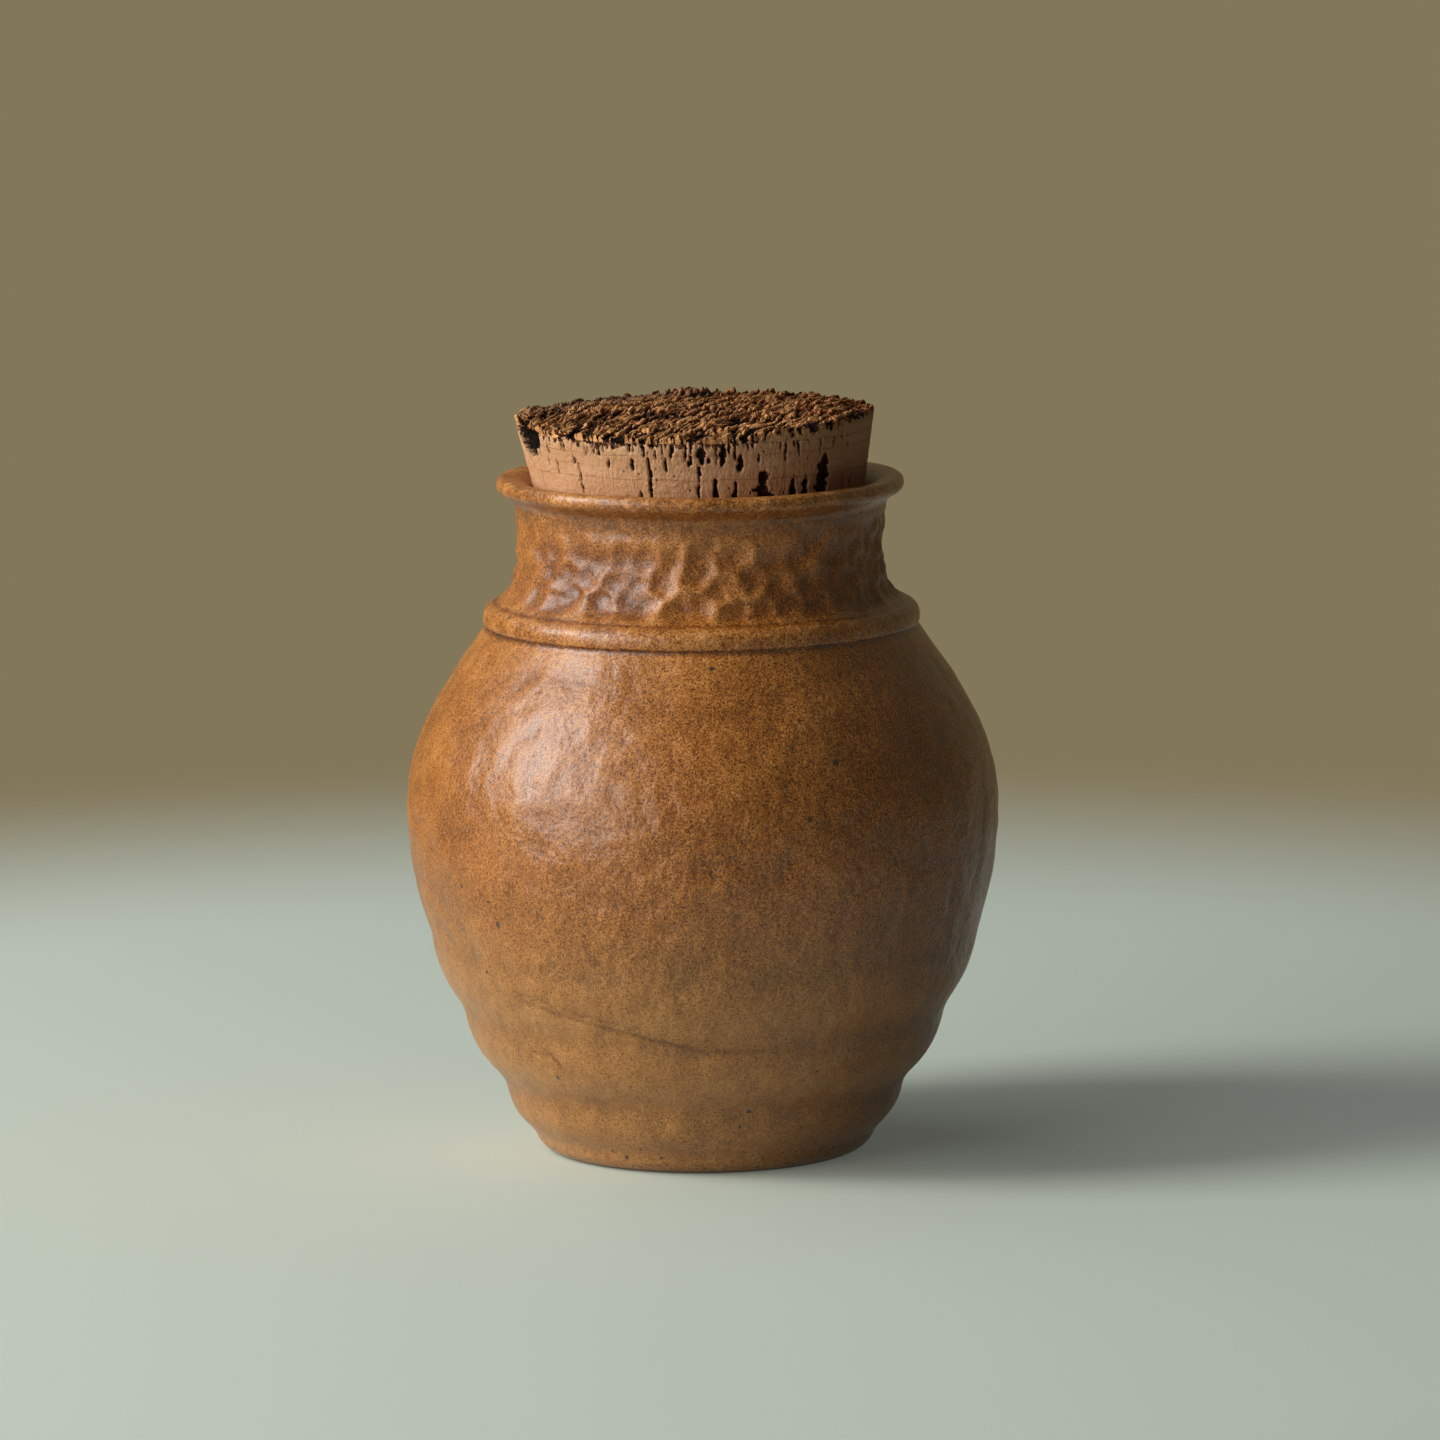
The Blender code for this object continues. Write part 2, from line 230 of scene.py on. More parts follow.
# Sizes that follow from the ones above
BEAD_RADIUS = NECK_RADIUS + BEAD_OVERHANG
BEAD_TOP = SHOULDER_HEIGHT + BEAD_THICKNESS
NECK_TOP = BEAD_TOP + NECK_LENGTH
LIP_RADIUS = NECK_RADIUS + LIP_OVERHANG
BORE_RADIUS = NECK_RADIUS - WALL
SEAT_HEIGHT = JAR_HEIGHT - SEAT_DEPTH

# The heel's corner in the jar's outline: radius, height and heading
HEEL = (HEEL_RADIUS, HEEL_HEIGHT, -112.0)


# Shapes in numbers

def smooth(low, high, value):
    """0 up to low, 1 from high, and between them t^2 (3 - 2t) with t the share of the way."""
    share = np.clip((value - low) / (high - low), 0.0, 1.0)
    return share * share * (3.0 - 2.0 * share)


def bell(value, middle, width):
    """1 at the middle, falling off on both sides as exp(-(distance / width) squared)."""
    return np.exp(-(((value - middle) / width) ** 2))


def turn_between(bearing, middle):
    """Degrees from the middle to each bearing, the short way round: their difference within -180 to 180."""
    return (bearing - middle + 180.0) % 360.0 - 180.0


def drift(points, size, seed):
    """Smooth noise from -1 to 1 that changes over about one size.

    Each whole-number corner of space has a random slope. A point's value is the sum over the eight
    corners round it of (slope . way from the corner), each weighed by 6t^5 - 15t^4 + 10t^3 per axis.
    """
    chance = np.random.default_rng(seed)
    order = np.tile(chance.permutation(256), 2)
    slopes = chance.normal(size=(256, 3))
    slopes /= np.linalg.norm(slopes, axis=1)[:, None]
    place = np.asarray(points, float) / np.asarray(size, float)
    cell = np.floor(place).astype(int)
    inside = place - cell
    fade = inside**3 * (inside * (inside * 6.0 - 15.0) + 10.0)
    total = np.zeros(place.shape[:-1])
    for corner in np.ndindex(2, 2, 2):
        at = (cell + corner) & 255
        slope = slopes[order[order[order[at[..., 0]] + at[..., 1]] + at[..., 2]]]
        share = np.where(corner, fade, 1.0 - fade).prod(axis=-1)
        total += share * (slope * (inside - corner)).sum(axis=-1)
    return 1.6 * total


def curve(start, end, spacing, leave=0.36, arrive=0.36):
    """Points after start, up to and with end, about one spacing apart on a cubic curve.

    A station is (radius, height, heading), its heading in degrees from outwards (0) through up (90).
    leave and arrive are the lengths of the curve's two handles, as shares of the straight distance. The
    curve is (1-t)^3 start + 3 (1-t)^2 t near handle + 3 (1-t) t^2 far handle + t^3 end.
    """
    first, last = np.array(start[:2], float), np.array(end[:2], float)
    reach = np.hypot(*(last - first))
    turns = np.radians([start[2], end[2]])
    handles = np.stack([np.cos(turns), np.sin(turns)], axis=1) * reach
    near, far = first + handles[0] * leave, last - handles[1] * arrive
    steps = max(2, round(1.04 * reach / spacing))
    share = (np.arange(steps)[:, None] + 1.0) / steps
    back = 1.0 - share
    return back**3 * first + 3 * back**2 * share * near + 3 * back * share**2 * far + share**3 * last


def straight(start, end, spacing):
    """Points after start, up to and with end, about one spacing apart: start + share (end - start)."""
    first, last = np.array(start[:2], float), np.array(end[:2], float)
    steps = max(1, round(np.hypot(*(last - first)) / spacing))
    share = (np.arange(steps)[:, None] + 1.0) / steps
    return first + share * (last - first)


def groove(outwards, upwards):
    """A throwing ring's groove on the way from the heel to the belly: heel + share (belly - heel)."""
    radius = HEEL_RADIUS + outwards * (BELLY_RADIUS - HEEL_RADIUS)
    height = HEEL_HEIGHT + upwards * (BELLY_HEIGHT - HEEL_HEIGHT)
    return radius, height


# Meshes

def turned(outline, columns):
    """An outline (rows, radius and height) turned once round: bearings, radii, heights and places.

    A place is (radius cos bearing, radius sin bearing, height).
    """
    bearing = np.linspace(0.0, 360.0, columns, endpoint=False)[None]
    turn = np.radians(bearing)
    radius = outline[:, :1] + 0.0 * bearing
    height = outline[:, 1:] + 0.0 * bearing
    return bearing, radius, height, np.stack([radius * np.cos(turn), radius * np.sin(turn), height], axis=-1)


def wrapped(points, marks):
    """A grid (rows, columns, xyz) closed round its columns, its first and last row drawn to a point each.

    Gives the points, the faces and the marks. Rows run down the outside and columns counter-clockwise, so
    that each face (down, round) points outwards.
    """
    rows, columns = points.shape[:2]
    rings = 1 + np.arange((rows - 2) * columns).reshape(rows - 2, columns)
    last = rings.size + 1

    def flat(grid):
        """The grid as one list, with a single point for its first row and for its last."""
        return np.concatenate([grid[:1, 0], grid[1:-1].reshape(-1, *grid.shape[2:]), grid[-1:, 0]])

    faces = fan(rings[0], 0)[:, [1, 0, 2]].tolist() + bands(rings).tolist() + fan(rings[-1], last).tolist()
    return flat(points), faces, {name: flat(values) for name, values in marks.items()}


def bands(rings):
    """Four-sided faces between rings of point numbers, (rows, columns), closed round the columns."""
    after = np.roll(rings, -1, axis=1)
    return np.stack([rings[:-1], rings[1:], after[1:], after[:-1]], axis=-1).reshape(-1, 4)


def fan(ring, middle):
    """Three-sided faces from a ring to its middle, which lies after the ring."""
    return np.stack([ring, np.full_like(ring, middle), np.roll(ring, -1)], axis=-1)


def new_mesh(name, points, faces, finish):
    """A mesh from points in millimetres, with its finish."""
    mesh = bpy.data.meshes.new(name)
    mesh.from_pydata((points * MM).tolist(), [], faces)
    mesh.materials.append(finish)
    return mesh


def put(name, data):
    """A new object in the scene."""
    thing = bpy.data.objects.new(name, data)
    bpy.context.scene.collection.objects.link(thing)
    return thing


def add_piece(name, shape, finish, body, node):
    """Puts a shape into Blender with its finish in a material slot, ties it to its body, and hides the CAD
    node that it stands for.
    """
    points, faces, marks = shape
    mesh = new_mesh(name, points, faces, finish)
    mesh.shade_smooth()
    for mark, values in marks.items():
        layer = mesh.attributes.new(mark, "FLOAT", "POINT")
        layer.data.foreach_set("value", np.ascontiguousarray(values, np.float32))
    piece = put(name, mesh)
    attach(piece, body)
    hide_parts(node)


# The jar

def inner_outline():
    """The inside, from the middle of the floor up to the seat of the stopper.

    It lies a wall's thickness within the outside, square to it: radius - wall sin(slope), and height
    + wall cos(slope) at the heel or - wall cos(slope) at the shoulder.
    """
    low_radius, low_height = groove(*RING_GROOVES[-1])
    rise = math.atan2(BELLY_HEIGHT - HEEL_HEIGHT, BELLY_RADIUS - HEEL_RADIUS)
    heel_radius = low_radius - WALL * math.sin(rise)
    heel_height = low_height + WALL * math.cos(rise)
    fall = math.radians(SHOULDER_FALL)
    shoulder_radius = BEAD_RADIUS - BEAD_UNDERCUT - WALL * math.sin(fall)
    floor_edge = (heel_radius - FLOOR_CORNER, FLOOR, 0.0)
    heel = (heel_radius, heel_height, math.degrees(rise) - 6.0)
    belly = (BELLY_RADIUS - WALL, BELLY_HEIGHT, 90.0)
    shoulder = (shoulder_radius, SHOULDER_HEIGHT - WALL * math.cos(fall), 180.0 - SHOULDER_FALL)
    bore = (BORE_RADIUS, BEAD_TOP + WALL, 90.0)
    seat = (BORE_RADIUS, SEAT_HEIGHT, 90.0)
    return np.vstack([
        [(0.0, FLOOR)], straight((0.0, FLOOR), floor_edge, 4.0), curve(floor_edge, heel, 1.8),
        curve(heel, belly, 3.0), curve(belly, shoulder, 2.6), curve(shoulder, bore, 1.6),
        straight(bore, seat, 2.0),
    ])


def lip_outline():
    """The flared mouth, the rolled lip and its underside, from the seat to the top of the neck."""
    seat = (BORE_RADIUS, SEAT_HEIGHT, 68.0)
    mouth = (BORE_RADIUS + MOUTH_FLARE, JAR_HEIGHT - MOUTH_DROP, 40.0)
    crown = (LIP_RADIUS - LIP_CROWN, JAR_HEIGHT, 0.0)
    edge = (LIP_RADIUS, JAR_HEIGHT - LIP_CROWN, -90.0)
    under = (NECK_RADIUS + 0.5 * LIP_OVERHANG, NECK_TOP + 0.45 * LIP_HEIGHT, -148.0)
    neck = (NECK_RADIUS, NECK_TOP, -90.0)
    return np.vstack([
        curve(seat, mouth, 0.6), curve(mouth, crown, 0.4), curve(crown, edge, 0.3, 0.5, 0.5),
        curve(edge, under, 0.36), curve(under, neck, 0.36, 0.4, 0.5),
    ])


def neck_outline():
    """The waisted neck, down to the crease above the bead."""
    return curve((NECK_RADIUS, NECK_TOP, -90.0), (BEAD_RADIUS - BEAD_CREASE, BEAD_TOP, -40.0), 0.4, 0.6, 0.2)


def bead_outline():
    """The raised bead, down to the undercut where it meets the shoulder."""
    crease = (BEAD_RADIUS - BEAD_CREASE, BEAD_TOP, -8.0)
    bulge = (BEAD_RADIUS, SHOULDER_HEIGHT + 0.45 * BEAD_THICKNESS, -90.0)
    undercut = (BEAD_RADIUS - BEAD_UNDERCUT, SHOULDER_HEIGHT, -165.0)
    return np.vstack([curve(crease, bulge, 0.32), curve(bulge, undercut, 0.3)])


def body_outline():
    """Shoulder, belly and one lobe to each throwing ring, down to the heel."""
    shoulder = (BEAD_RADIUS - BEAD_UNDERCUT, SHOULDER_HEIGHT, -SHOULDER_FALL)
    belly = (BELLY_RADIUS, BELLY_HEIGHT, -90.0)
    stretches = [curve(shoulder, belly, 0.95, 0.39, 0.36)]
    above = belly
    for share in RING_GROOVES:
        below = (*groove(*share), -101.0)
        stretches.append(curve(above, below, 0.6 if below[1] < FINE_BELOW else 0.8, 0.58, 0.24))
        above = below
    stretches.append(curve(above, HEEL, 0.6, 0.58, 0.24))
    return np.vstack(stretches)


def foot_outline():
    """The turned heel, and the flat foot up to its middle."""
    foot = (FOOT_RADIUS, 0.0, -170.0)
    return np.vstack([curve(HEEL, foot, 0.4), straight(foot, (0.0, 0.0), 2.0)])


def beater_marks():
    """Middles of the dimples as (way round, height): staggered rows, each a little off its place.

    Rows lie pitch cos(30 degrees) apart, and every second one is moved on by half a place.
    """
    shake = np.random.default_rng(DIMPLE_SEED)
    around = round(math.tau * NECK_RADIUS / DIMPLE_PITCH)
    row_step = math.cos(math.radians(30)) * DIMPLE_PITCH
    rows = int((NECK_LENGTH - 0.5 * DIMPLE_PITCH) / row_step)
    row, place = np.mgrid[0:rows, 0:around]
    way = (place + 0.5 * (row % 2)) / around * math.tau * NECK_RADIUS
    height = BEAD_TOP + 0.55 * DIMPLE_PITCH + row * row_step
    way = way + DIMPLE_PITCH * shake.uniform(-DIMPLE_SHAKE, DIMPLE_SHAKE, way.shape)
    height = height + DIMPLE_PITCH * shake.uniform(-DIMPLE_SHAKE, DIMPLE_SHAKE, height.shape)
    return way.ravel(), height.ravel()


def beaten(way, height):
    """How deep the beating went, about 0 to 1: 1 - (distance / reach) squared from the nearest mark.

    Each mark is drawn out along a slant. The squared distances are blended as -ln(sum of exp(-k d^2)) / k,
    so that neighbouring bowls meet in a soft ridge, a little deeper where two of them overlap.
    """
    marks_way, marks_height = beater_marks()
    turn_length = math.tau * NECK_RADIUS
    turn = way / NECK_RADIUS
    place = np.stack([NECK_RADIUS * np.cos(turn), NECK_RADIUS * np.sin(turn), height], axis=-1)
    bent_way = way + DIMPLE_BEND[0] * drift(place, DIMPLE_BEND_SIZE, 13)
    bent_height = height + DIMPLE_BEND[1] * drift(place, DIMPLE_BEND_SIZE, 14)
    across = (marks_way - bent_way[..., None] + 0.5 * turn_length) % turn_length - 0.5 * turn_length
    up = marks_height - bent_height[..., None]
    level, rise = DIMPLE_SLANT
    along = DIMPLE_STRETCH[0] * (level * across + rise * up)
    beside = DIMPLE_STRETCH[1] * (level * up - rise * across)
    squared = along**2 + beside**2
    nearest = -np.log(np.exp(-DIMPLE_BLEND * squared).sum(axis=-1)) / DIMPLE_BLEND
    return np.clip(1.0 - nearest / (DIMPLE_REACH * DIMPLE_PITCH) ** 2, 0.0, 1.15)


def spiral_crease(bearing, height):
    """A finger's crease, 0 to 1, that climbs to the left out of the middle ring groove.

    Across it is a bell, and along it fades in over 24 degrees and out over 20.
    """
    turn = turn_between(bearing, SPIRAL_BEARING)
    middle = SPIRAL_HEIGHT - SPIRAL_RISE * np.minimum(turn, 0.0)
    fade = smooth(-58.0, -34.0, turn) * (1.0 - smooth(2.0, 22.0, turn))
    twin = 0.7 * bell(height, middle + SPIRAL_TWIN, 0.45) * (1.0 - smooth(-30.0, -12.0, turn))
    return fade * np.maximum(bell(height, middle, CREASE_WIDTH), twin)


def nail_mark(bearing, height, radius):
    """A crescent, 0 to 1: near a circle of the nail's radius, over its upper half."""
    across = np.radians(turn_between(bearing, NAIL_BEARING)) * radius
    up = height - NAIL_HEIGHT
    ring = bell(np.hypot(across, up), NAIL_RADIUS, CREASE_WIDTH)
    return ring * smooth(0.0, 2.4, up + 0.25 * across)


def jar_shape():
    """The jar's outline turned once round, with every chance mark pressed in towards the axis.

    A point's radius is the outline's less the sum of the presses, each a depth times how strong it is there.
    """
    coats = {
        "inside": inner_outline(), "lip": lip_outline(), "neck": neck_outline(),
        "bead": bead_outline(), "body": body_outline(), "foot": foot_outline(),
    }
    outline = np.vstack(list(coats.values()))
    coat = np.repeat(list(coats), [len(points) for points in coats.values()])[:, None]
    bearing, radius, height, around = turned(outline, JAR_COLUMNS)

    body, bead, neck, lip = (coat == name for name in ("body", "bead", "neck", "lip"))
    start, full, ease = LUMP_HEIGHTS
    middle = smooth(HEEL_HEIGHT, HEEL_HEIGHT + 4.0, height) * (1.0 - smooth(ease, SHOULDER_HEIGHT, height))
    lumps = 0.45 + 0.38 * drift(around, (11.0, 11.0, 8.0), 3) + 0.30 * drift(around, (4.4, 4.4, 3.6), 4)
    lumps = np.clip(lumps, 0.0, 1.0) * (0.35 + 0.65 * smooth(start, full, height))
    crease = body * spiral_crease(bearing, height)
    nail = body * nail_mark(bearing, height, radius)

    # Only the neck's rows are asked how they were beaten, because the sum over all marks is long
    dimple = np.zeros_like(radius)
    rows = neck[:, 0]
    dimple[rows] = beaten(NECK_RADIUS * np.radians(bearing) + 0.0 * height[rows], height[rows])
    dimple *= 1.0 - 0.4 * smooth(BEATING_EASES, BEATING_ENDS, height)
    dimple *= 1.0 - 0.55 * bell(turn_between(bearing, BEATING_EASY_BEARING), 0.0, BEATING_EASY_SPREAD)
    dimple *= smooth(BEAD_TOP - 0.1, BEAD_TOP + 1.2, height) * (1.0 - smooth(BEATING_ENDS, NECK_TOP, height))
    beside = turn_between(bearing, PLEAT_BEARING)
    pleats = neck * bell(beside, 0.0, PLEAT_SPREAD) * smooth(BEAD_TOP, BEAD_TOP + 2.0, height)
    pleats = pleats * (0.5 + 0.5 * np.cos(beside * math.radians(360.0 * NECK_RADIUS / PLEAT_PITCH)
                                          + 2.2 * drift(around, 7.0, 9)))

    press = body * middle * LUMP_DEPTH * lumps
    press += DIMPLE_PRESS * dimple + PLEAT_DEPTH * pleats
    press += neck * NECK_UNEVEN * (1.0 + drift(around, 1.9, 10)) * smooth(BEAD_TOP, BEAD_TOP + 2.0, height)
    press += SPIRAL_DEPTH * crease + NAIL_DEPTH * nail
    outer = smooth(SEAT_HEIGHT + 1.0, JAR_HEIGHT - 2.0, height) * lip
    press += ROLL_UNEVEN * (outer + bead) * (1.0 + drift(around, 9.0, 6) + 0.4 * drift(around, 2.2, 5))
    shrink = (radius - press) / np.maximum(radius, 1e-6)
    around[..., :2] *= shrink[..., None]
    full, ease, still = WANDER_HEIGHTS
    wander = RING_WANDER * drift(around, (17.0, 17.0, 60.0), 7) * smooth(HEEL_HEIGHT, full, height)
    around[..., 2] += body * wander * (1.0 - smooth(ease, still, height))
    around[..., 2] -= LIP_DIP * outer * (1.0 + drift(around * (1.0, 1.0, 0.0), 12.0, 8))

    grooves = sum(0.6 * bell(height, groove(*share)[1] + 0.2, 1.9) for share in RING_GROOVES[1:])
    grooves += 0.3 * bell(height, groove(*RING_GROOVES[0])[1], 1.5)
    lobes = sum(bell(height, groove(*share)[1] + 4.6, 2.6) for share in RING_GROOVES[1:])
    under_lip = bell(height, NECK_TOP + 0.6, 2.4) * (neck | lip)
    waist = smooth(BEAD_TOP, BEAD_TOP + 1.5, height) * (1.0 - smooth(NECK_TONE_EASES, NECK_TOP, height))
    marks = {
        "hollow": np.clip(body * grooves + under_lip, 0.0, 1.0),
        "crest": body * np.clip(lobes, 0.0, 1.0),
        "dimple": np.clip(dimple + 0.8 * pleats, 0.0, 1.0),
        "crease": np.clip(crease + nail, 0.0, 1.0),
        "low": body * middle * lumps,
        "seam": (neck | bead | body) * np.maximum(
            0.6 * bell(height, BEAD_TOP + 0.05, 0.22), bell(height, SHOULDER_HEIGHT - 0.05, 0.26)),
        "roll": (lip | bead) * np.ones_like(height),
        "neck": neck * waist,
        "inside": (coat == "inside") * np.ones_like(height),
        "bare": (coat == "foot") * (1.0 - smooth(0.0, 0.9, height)),
    }
    return wrapped(around, marks)


# The stopper

def cork_radius(height):
    """The cone's radius: bore - clearance / cos(taper) at the seat, and tan(taper) more per millimetre up."""
    taper = math.radians(STOPPER_TAPER)
    at_seat = BORE_RADIUS - STOPPER_CLEARANCE / math.cos(taper)
    return at_seat + (height - SEAT_HEIGHT) * math.tan(taper)


def lean(height):
    """How far the stopper's middle lies to -X: the lean times the share of the way from seat to top."""
    return STOPPER_LEAN * np.maximum(0.0, height - SEAT_HEIGHT) / (CORK_TOP - SEAT_HEIGHT)


def chance_pores():
    """Pores for the sides that the photograph doesn't show: bearing, lowest, highest, width.

    Lengths and widths are a least plus a range times a power of a chance share, so that most are small.
    """
    chance = np.random.default_rng(12)
    bearing = chance.uniform(-14.0, 190.0, CHANCE_PORES)
    low = chance.uniform(CORK_BOTTOM, CORK_TOP - 2.0, CHANCE_PORES)
    length = 0.8 + 4.2 * chance.random(CHANCE_PORES) ** 2
    width = 0.24 + 0.9 * chance.random(CHANCE_PORES) ** 3
    return np.stack([bearing, low, low + length, width], axis=1)


def hanging_slits():
    """Thin slits that hang down from the bark all round: bearing, lowest, highest, width.

    Each starts near the bark's line, and most are short and thin, as the chance pores are.
    """
    chance = np.random.default_rng(14)
    bearing = chance.uniform(-180.0, 180.0, HANGING_SLITS)
    length = 0.4 + 3.4 * chance.random(HANGING_SLITS) ** 2
    x = cork_radius(CORK_TOP) * np.cos(np.radians(bearing))
    top = bark_line(x) + chance.uniform(-0.3, 0.6, HANGING_SLITS)
    width = 0.20 + 0.30 * chance.random(HANGING_SLITS) ** 2
    return np.stack([bearing, top - length, top + 0.6, width], axis=1)


def cork_pits(bearing, height, around):
    """Depth of the pores in the cork's side, 0 to 1.

    A pore is as wide as its width where the height is in its middle, and half as wide near both ends:
    1 - (way across / half width) squared, its edge shaken by noise.
    """
    shake = 0.25 * drift(around, (0.4, 0.4, 1.1), 21) + 0.35 * drift(around, (2.0, 2.0, 1.5), 22)
    swell = np.clip(1.0 + 0.7 * drift(around, (2.4, 2.4, 0.8), 26), 0.3, 1.7)
    depth = np.zeros_like(height)
    for middle, low, high, width in (*PORES, *chance_pores(), *hanging_slits()):
        across = np.radians(turn_between(bearing, middle)) * cork_radius(height)
        across = across + shake * (0.35 + 0.5 * width) - 0.05 * (height - low)
        up = (height - 0.5 * (low + high)) / (0.5 * (high - low))
        half = 0.5 * width * swell * np.sqrt(np.clip(1.0 - up**2, 0.0, 1.0)) * (1.0 - 0.35 * up)
        bowl = 1.0 - (across / np.maximum(half, 1e-3)) ** 2
        depth = np.maximum(depth, np.clip(bowl, 0.0, 1.0) ** 0.5 * min(1.0, 0.45 + 0.6 * width))
    return depth


def chip(bearing, height, around):
    """How deep the chip goes in millimetres: a squashed ball with a broken surface.

    It is the chip's depth times sqrt(1 - (across / half width)^2 - (up / half height)^2), shaken by noise.
    """
    across = np.radians(turn_between(bearing, CHIP_BEARING)) * cork_radius(height) / (0.5 * CHIP_WIDTH)
    up = (height - CHIP_MIDDLE) / (0.5 * CHIP_TALL)
    ragged = 1.0 + 0.35 * drift(around, 1.8, 31) + 0.2 * drift(around, 0.7, 32)
    rough = 1.0 + 0.3 * drift(around, 1.2, 33)
    return CHIP_DEPTH * np.sqrt(np.clip(ragged - across**2 - up**2, 0.0, 1.0)) * rough


def cork_shape():
    """The plug: top, leaning side and underside, with pores, a frayed rim and the chip pressed in.

    Its radius is the cone's less the deeper of pore and chip, and less the sawn rim. It then leans to -X.
    """
    rim, edge = cork_radius(CORK_TOP), cork_radius(CORK_BOTTOM) - CORK_EDGE
    brow = CORK_BOTTOM + CORK_EDGE
    corners = [
        (0.0, CORK_TOP), (rim - 4.0, CORK_TOP), (rim, CORK_TOP), (cork_radius(SEAT_HEIGHT), SEAT_HEIGHT),
        (cork_radius(brow), brow), (edge, CORK_BOTTOM), (0.0, CORK_BOTTOM),
    ]
    spacings = (8.0, 1.0, 0.29, 1.0, 0.4, 1.6)
    outline = np.vstack([corners[:1], *map(straight, corners, corners[1:], spacings)])
    bearing, radius, height, around = turned(outline, CORK_COLUMNS)

    on_side = smooth(cork_radius(height) - 0.9, cork_radius(height) - 0.1, radius)
    pits = on_side * cork_pits(bearing, height, around)
    broken = on_side * chip(bearing, height, around)
    press = np.maximum(PORE_DEPTH * pits, broken) + on_side * sawn_rim(around)
    around[..., :2] *= ((radius - press) / np.maximum(radius, 1e-6))[..., None]
    around[..., 0] -= lean(height)
    marks = {
        "pore": np.clip(pits * 1.4, 0.0, 1.0),
        "bark": on_side * smooth(-0.25, 0.25, above_bark_line(around)),
        "broken": smooth(0.05, 0.5, broken),
    }
    return wrapped(around, marks)


def bark_line(x):
    """Height at which the cork's side turns into bark: level, a straight climb towards +X, and level."""
    return BARK_LINE + BARK_LINE_RISE * np.clip((x - BARK_LINE_START) / BARK_LINE_LENGTH, 0.0, 1.0)


def sawn_rim(around):
    """Millimetres that the stopper's side lies inside its cone: saw marks, and the bark's frayed teeth.

    Saw marks are a depth times 1 + noise, and above the bark's line comes noise held between 0 and a most.
    """
    saw = SAW_DEPTH * (1.0 + drift(around, (1.4, 1.4, 0.7), 25))
    torn = smooth(-0.25, 0.25, above_bark_line(around))
    fray = 0.22 + 0.22 * drift(around, 0.8, 51) + 0.15 * drift(around, 2.6, 52)
    return saw + torn * np.clip(fray, 0.0, FRAY_MOST)


def above_bark_line(around):
    """Millimetres above the ragged line on the stopper's side where cork turns into bark.

    The line climbs towards +X. Upright teeth of both hang over it, each a millimetre or so wide.
    """
    line = bark_line(around[..., 0])
    teeth = 1.1 * drift(around * (1.0, 1.0, 0.22), 0.55, 23) + 0.7 * drift(around * (1.0, 1.0, 0.2), 2.0, 24)
    return around[..., 2] - line + teeth


def plates(along, across, seed):
    """Bark plates one unit long and one wide: their chance level, the way to their edge, and their lie.

    Each unit square holds one middle at a chance place, and a point belongs to the nearest of them. The
    way to the edge is the distance to the second nearest less that to the nearest. The lie is how far the
    point is below its middle, across the grain.
    """
    table = np.random.default_rng(seed).random((64, 64, 3))
    column, row = np.floor(along).astype(int), np.floor(across).astype(int)
    first, second = np.full(along.shape, 9.0), np.full(along.shape, 9.0)
    level, lie = np.zeros(along.shape), np.zeros(along.shape)
    for step in np.ndindex(3, 3):
        at_column, at_row = column + step[0] - 1, row + step[1] - 1
        chance = table[at_column % 64, at_row % 64]
        below = at_row + chance[..., 1] - across
        away = np.hypot(at_column + chance[..., 0] - along, below)
        nearer = away < first
        second = np.where(nearer, first, np.minimum(second, away))
        level, lie = np.where(nearer, chance[..., 2], level), np.where(nearer, below, lie)
        first = np.where(nearer, away, first)
    return level, second - first, lie


